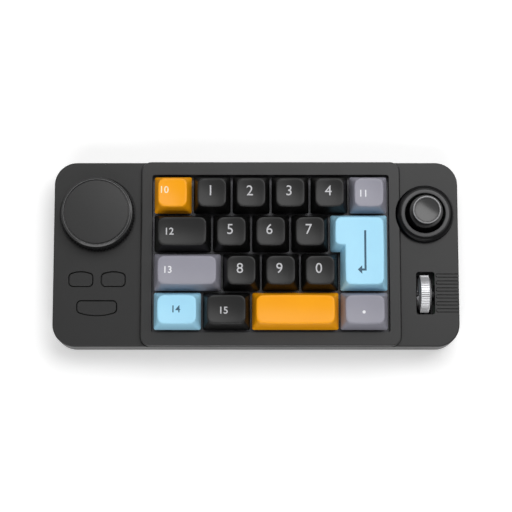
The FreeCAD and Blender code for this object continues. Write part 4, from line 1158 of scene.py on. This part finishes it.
class KEYPAD_OT_thumb_stick(bpy.types.Operator):
    """Collar, dome and grip of the thumb stick"""
    bl_idname = "keypad.thumb_stick"
    bl_label = "Thumb stick"

    def execute(self, context):
        look = context.scene.keypad_controls
        centre = middle_of("joystick_ring")
        gloss = finish("collar_gloss", look.collar_colour, 0.16, grain=0.6, bump=0.001, spread=0.02,
                       specular=look.gloss_shine)
        satin = finish("lip_satin", look.lip_colour, 0.4, grain=0.22, bump=0.006, spread=0.02,
                       specular=look.satin_shine)
        dark = finish("dome_plastic", look.dome_colour, 0.2, grain=0.4, bump=0.001,
                      specular=look.dome_shine)
        head_finish = finish("grip_head", look.grip_colour, 0.22, grain=0.3, bump=0.002,
                             specular=look.grip_shine)
        # Light grey on the grip's polished edge: painted highlight
        bright = finish("grip_edge", look.edge_colour, 0.25, grain=0.3, bump=0.002)
        collar, lip = self.collar(look, centre)
        piece_of("collar", collar, gloss, "joystick_ring")
        piece_of("collar_lip", lip, satin, "joystick_ring", stands=False)
        piece_of("dome", self.dome(look, centre), dark, "joystick_dome")
        base, head, edge = self.grip(look, centre)
        piece_of("grip", head, head_finish, "joystick_cap")
        piece_of("grip_flange", base, dark, "joystick_cap", stands=False)
        piece_of("grip_edge", edge, bright, "joystick_cap", stands=False)
        return {"FINISHED"}

    def collar(self, look, centre):
        """Rounded shoulder with its skirt, and the flat lip on top of it."""
        low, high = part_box("joystick_ring")
        wing_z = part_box("top_case")[1].z
        outer = (high.x - low.x) / 2
        lip_radius = outer - look.shoulder_width
        mouth = lip_radius - look.lip_width
        shoulder_z = high.z - look.lip_step
        edge_z = wing_z + look.shoulder_height
        land_z = high.z - look.lip_land
        cavity = look.skirt_radius - look.skirt
        slope_z = land_z - (cavity - mouth)
        split = mouth + (land_z - shoulder_z)
        shoulder = arc((lip_radius, edge_z), look.shoulder_width, shoulder_z - edge_z, 90, 0, 10)
        collar = turned([
            (look.skirt_radius, wing_z), (look.skirt_radius, low.z), (cavity, low.z), (cavity, slope_z),
            (split, shoulder_z),
        ] + shoulder + [(outer, wing_z)], centre, closed=True)
        lip = turned(rounded([
            (split, shoulder_z), (mouth, land_z), (mouth, high.z), (lip_radius, high.z),
            (lip_radius, shoulder_z),
        ], [0, look.lip_edge, look.lip_edge]), centre, closed=True)
        return collar, lip

    def dome(self, look, centre):
        """Ball-shaped skirt with a neck for the shaft."""
        low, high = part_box("joystick_dome")
        edge = (high.x - low.x) / 2
        ball_z = low.z - math.sqrt(look.dome_radius ** 2 - edge ** 2)
        inside = look.dome_radius - look.dome_wall

        def lean(ball, radius):
            return math.degrees(math.acos(radius / ball))

        inner_edge = math.sqrt(inside ** 2 - (low.z - ball_z) ** 2)
        outer_arc = arc((0, ball_z), look.dome_radius, look.dome_radius, lean(look.dome_radius, edge),
                        lean(look.dome_radius, look.neck_radius), 16)
        inner_arc = arc((0, ball_z), inside, inside, lean(inside, look.stem_radius),
                        lean(inside, inner_edge), 12)
        neck = [(look.neck_radius, high.z), (look.stem_radius, high.z)]
        return turned(outer_arc + neck + inner_arc, centre, closed=True)

    def grip(self, look, centre):
        """Flange with its waist, the dished head on top, and the polished edge on the head's rim."""
        low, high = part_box("joystick_cap")
        flange = (high.x - low.x) / 2
        waist = flange - look.waist_depth
        rim = flange - look.rim_setback
        dish = rim - look.rim_width
        flange_z = low.z + look.flange_height
        waist_z = flange_z + look.waist_height
        floor_z = high.z - look.dish_depth
        edge_z = high.z - look.edge_height
        bowl_radius = dish - look.dish_wall / 3
        bowl_depth = look.dish_depth - look.dish_wall
        bend = (bowl_radius ** 2 + bowl_depth ** 2) / (2 * bowl_depth)
        sweep = math.degrees(math.asin(bowl_radius / bend))
        bowl = arc((0, floor_z + bend), bend, bend, sweep - 90, -90, 12)
        land = rim - look.edge_width
        base = turned(rounded([
            (0, low.z), (look.neck_radius, low.z), (flange, flange_z - look.flange_edge), (flange, flange_z),
            (waist, flange_z), (waist, waist_z), (0, waist_z),
        ], [0, FLANGE_FOOT, look.flange_round, WAIST_CORNER, 0]), centre)
        head = turned(rounded([
            (0, waist_z), (rim, waist_z), (rim, edge_z), (land, edge_z), (land, high.z), (dish, high.z),
            bowl[0],
        ], [HEAD_FOOT, 0, 0, LAND_CORNER, DISH_CORNER]) + bowl[1:], centre)
        edge = turned(rounded([
            (land, edge_z), (rim, edge_z), (rim, high.z), (land, high.z),
        ], [0, look.edge_width * POLISH_SHARE]), centre, closed=True)
        return base, head, edge


class KEYPAD_OT_wheel(bpy.types.Operator):
    """Ribbed scroll wheel"""
    bl_idname = "keypad.wheel"
    bl_label = "Scroll wheel"

    def execute(self, context):
        look = context.scene.keypad_controls
        metal = finish("wheel_metal", look.wheel_colour, 0.4, grain=0.25, bump=0.006, metallic=1.0,
                       stretch=(0.1, 1.0, 1.0))
        low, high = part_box("scroll_wheel")
        centre = middle_of("scroll_wheel")
        radius = (high.z - low.z) / 2
        half = (high.x - low.x) / 2
        shoulder = radius - look.shoulder_drop
        cheek = shoulder - look.cheek_drop
        side = [
            (look.axle_radius, half - look.hollow_depth), (look.hollow_radius, half - look.hollow_depth),
            (look.hollow_radius, half), (cheek, half), (shoulder, look.tread / 2 + look.tread_edge),
            (radius - look.tread_edge, look.tread / 2), (radius, look.tread / 2 - look.tread_edge),
        ]
        profile = [(r, centre.x - x) for r, x in side] + [(r, centre.x + x) for r, x in reversed(side)]
        steps = look.wheel_ribs * LINES_PER_RIB
        shape = bmesh.new()
        spun(shape, profile, centre, axis="X", steps=steps, closed=True)
        for vert in shape.verts:
            across = (vert.co - centre).yz
            gap = round(math.atan2(across.y, across.x) / (2 * math.pi) * steps) % LINES_PER_RIB == 2
            if gap and across.length > radius - look.tread_edge - MERGE:
                vert.co.yz = centre.yz + across.normalized() * (radius - look.rib_depth)
        settle(shape)
        piece_of("wheel", shape, metal, "scroll_wheel")
        return {"FINISHED"}


STEPS = (
    KEYPAD_OT_stage, KEYPAD_OT_case, KEYPAD_OT_screws, KEYPAD_OT_keycaps, KEYPAD_OT_markings, KEYPAD_OT_dial,
    KEYPAD_OT_buttons, KEYPAD_OT_thumb_stick, KEYPAD_OT_wheel, KEYPAD_OT_insides,
)


class KEYPAD_PT_panel(bpy.types.Panel):
    """Steps that build the keypad, and their sizes and colours"""
    bl_idname = "KEYPAD_PT_panel"
    bl_label = "Macro keypad"
    bl_space_type = "VIEW_3D"
    bl_region_type = "UI"
    bl_category = "Keypad"

    def draw(self, context):
        for step in STEPS:
            self.layout.operator(step.bl_idname)
        for attribute, look in LOOKS:
            box = self.layout.box()
            for name in look.__annotations__:
                box.prop(getattr(context.scene, attribute), name)


CLASSES = tuple(look for _, look in LOOKS) + STEPS + (KEYPAD_PT_panel,)


def register():
    for item in CLASSES:
        bpy.utils.register_class(item)
    for attribute, look in LOOKS:
        setattr(bpy.types.Scene, attribute, bpy.props.PointerProperty(type=look))


def unregister():
    for attribute, look in reversed(LOOKS):
        delattr(bpy.types.Scene, attribute)
    for item in reversed(CLASSES):
        bpy.utils.unregister_class(item)


def main():
    register()
    for step in STEPS:
        group, name = step.bl_idname.split(".")
        getattr(getattr(bpy.ops, group), name)()


if __name__ == "__main__":
    main()
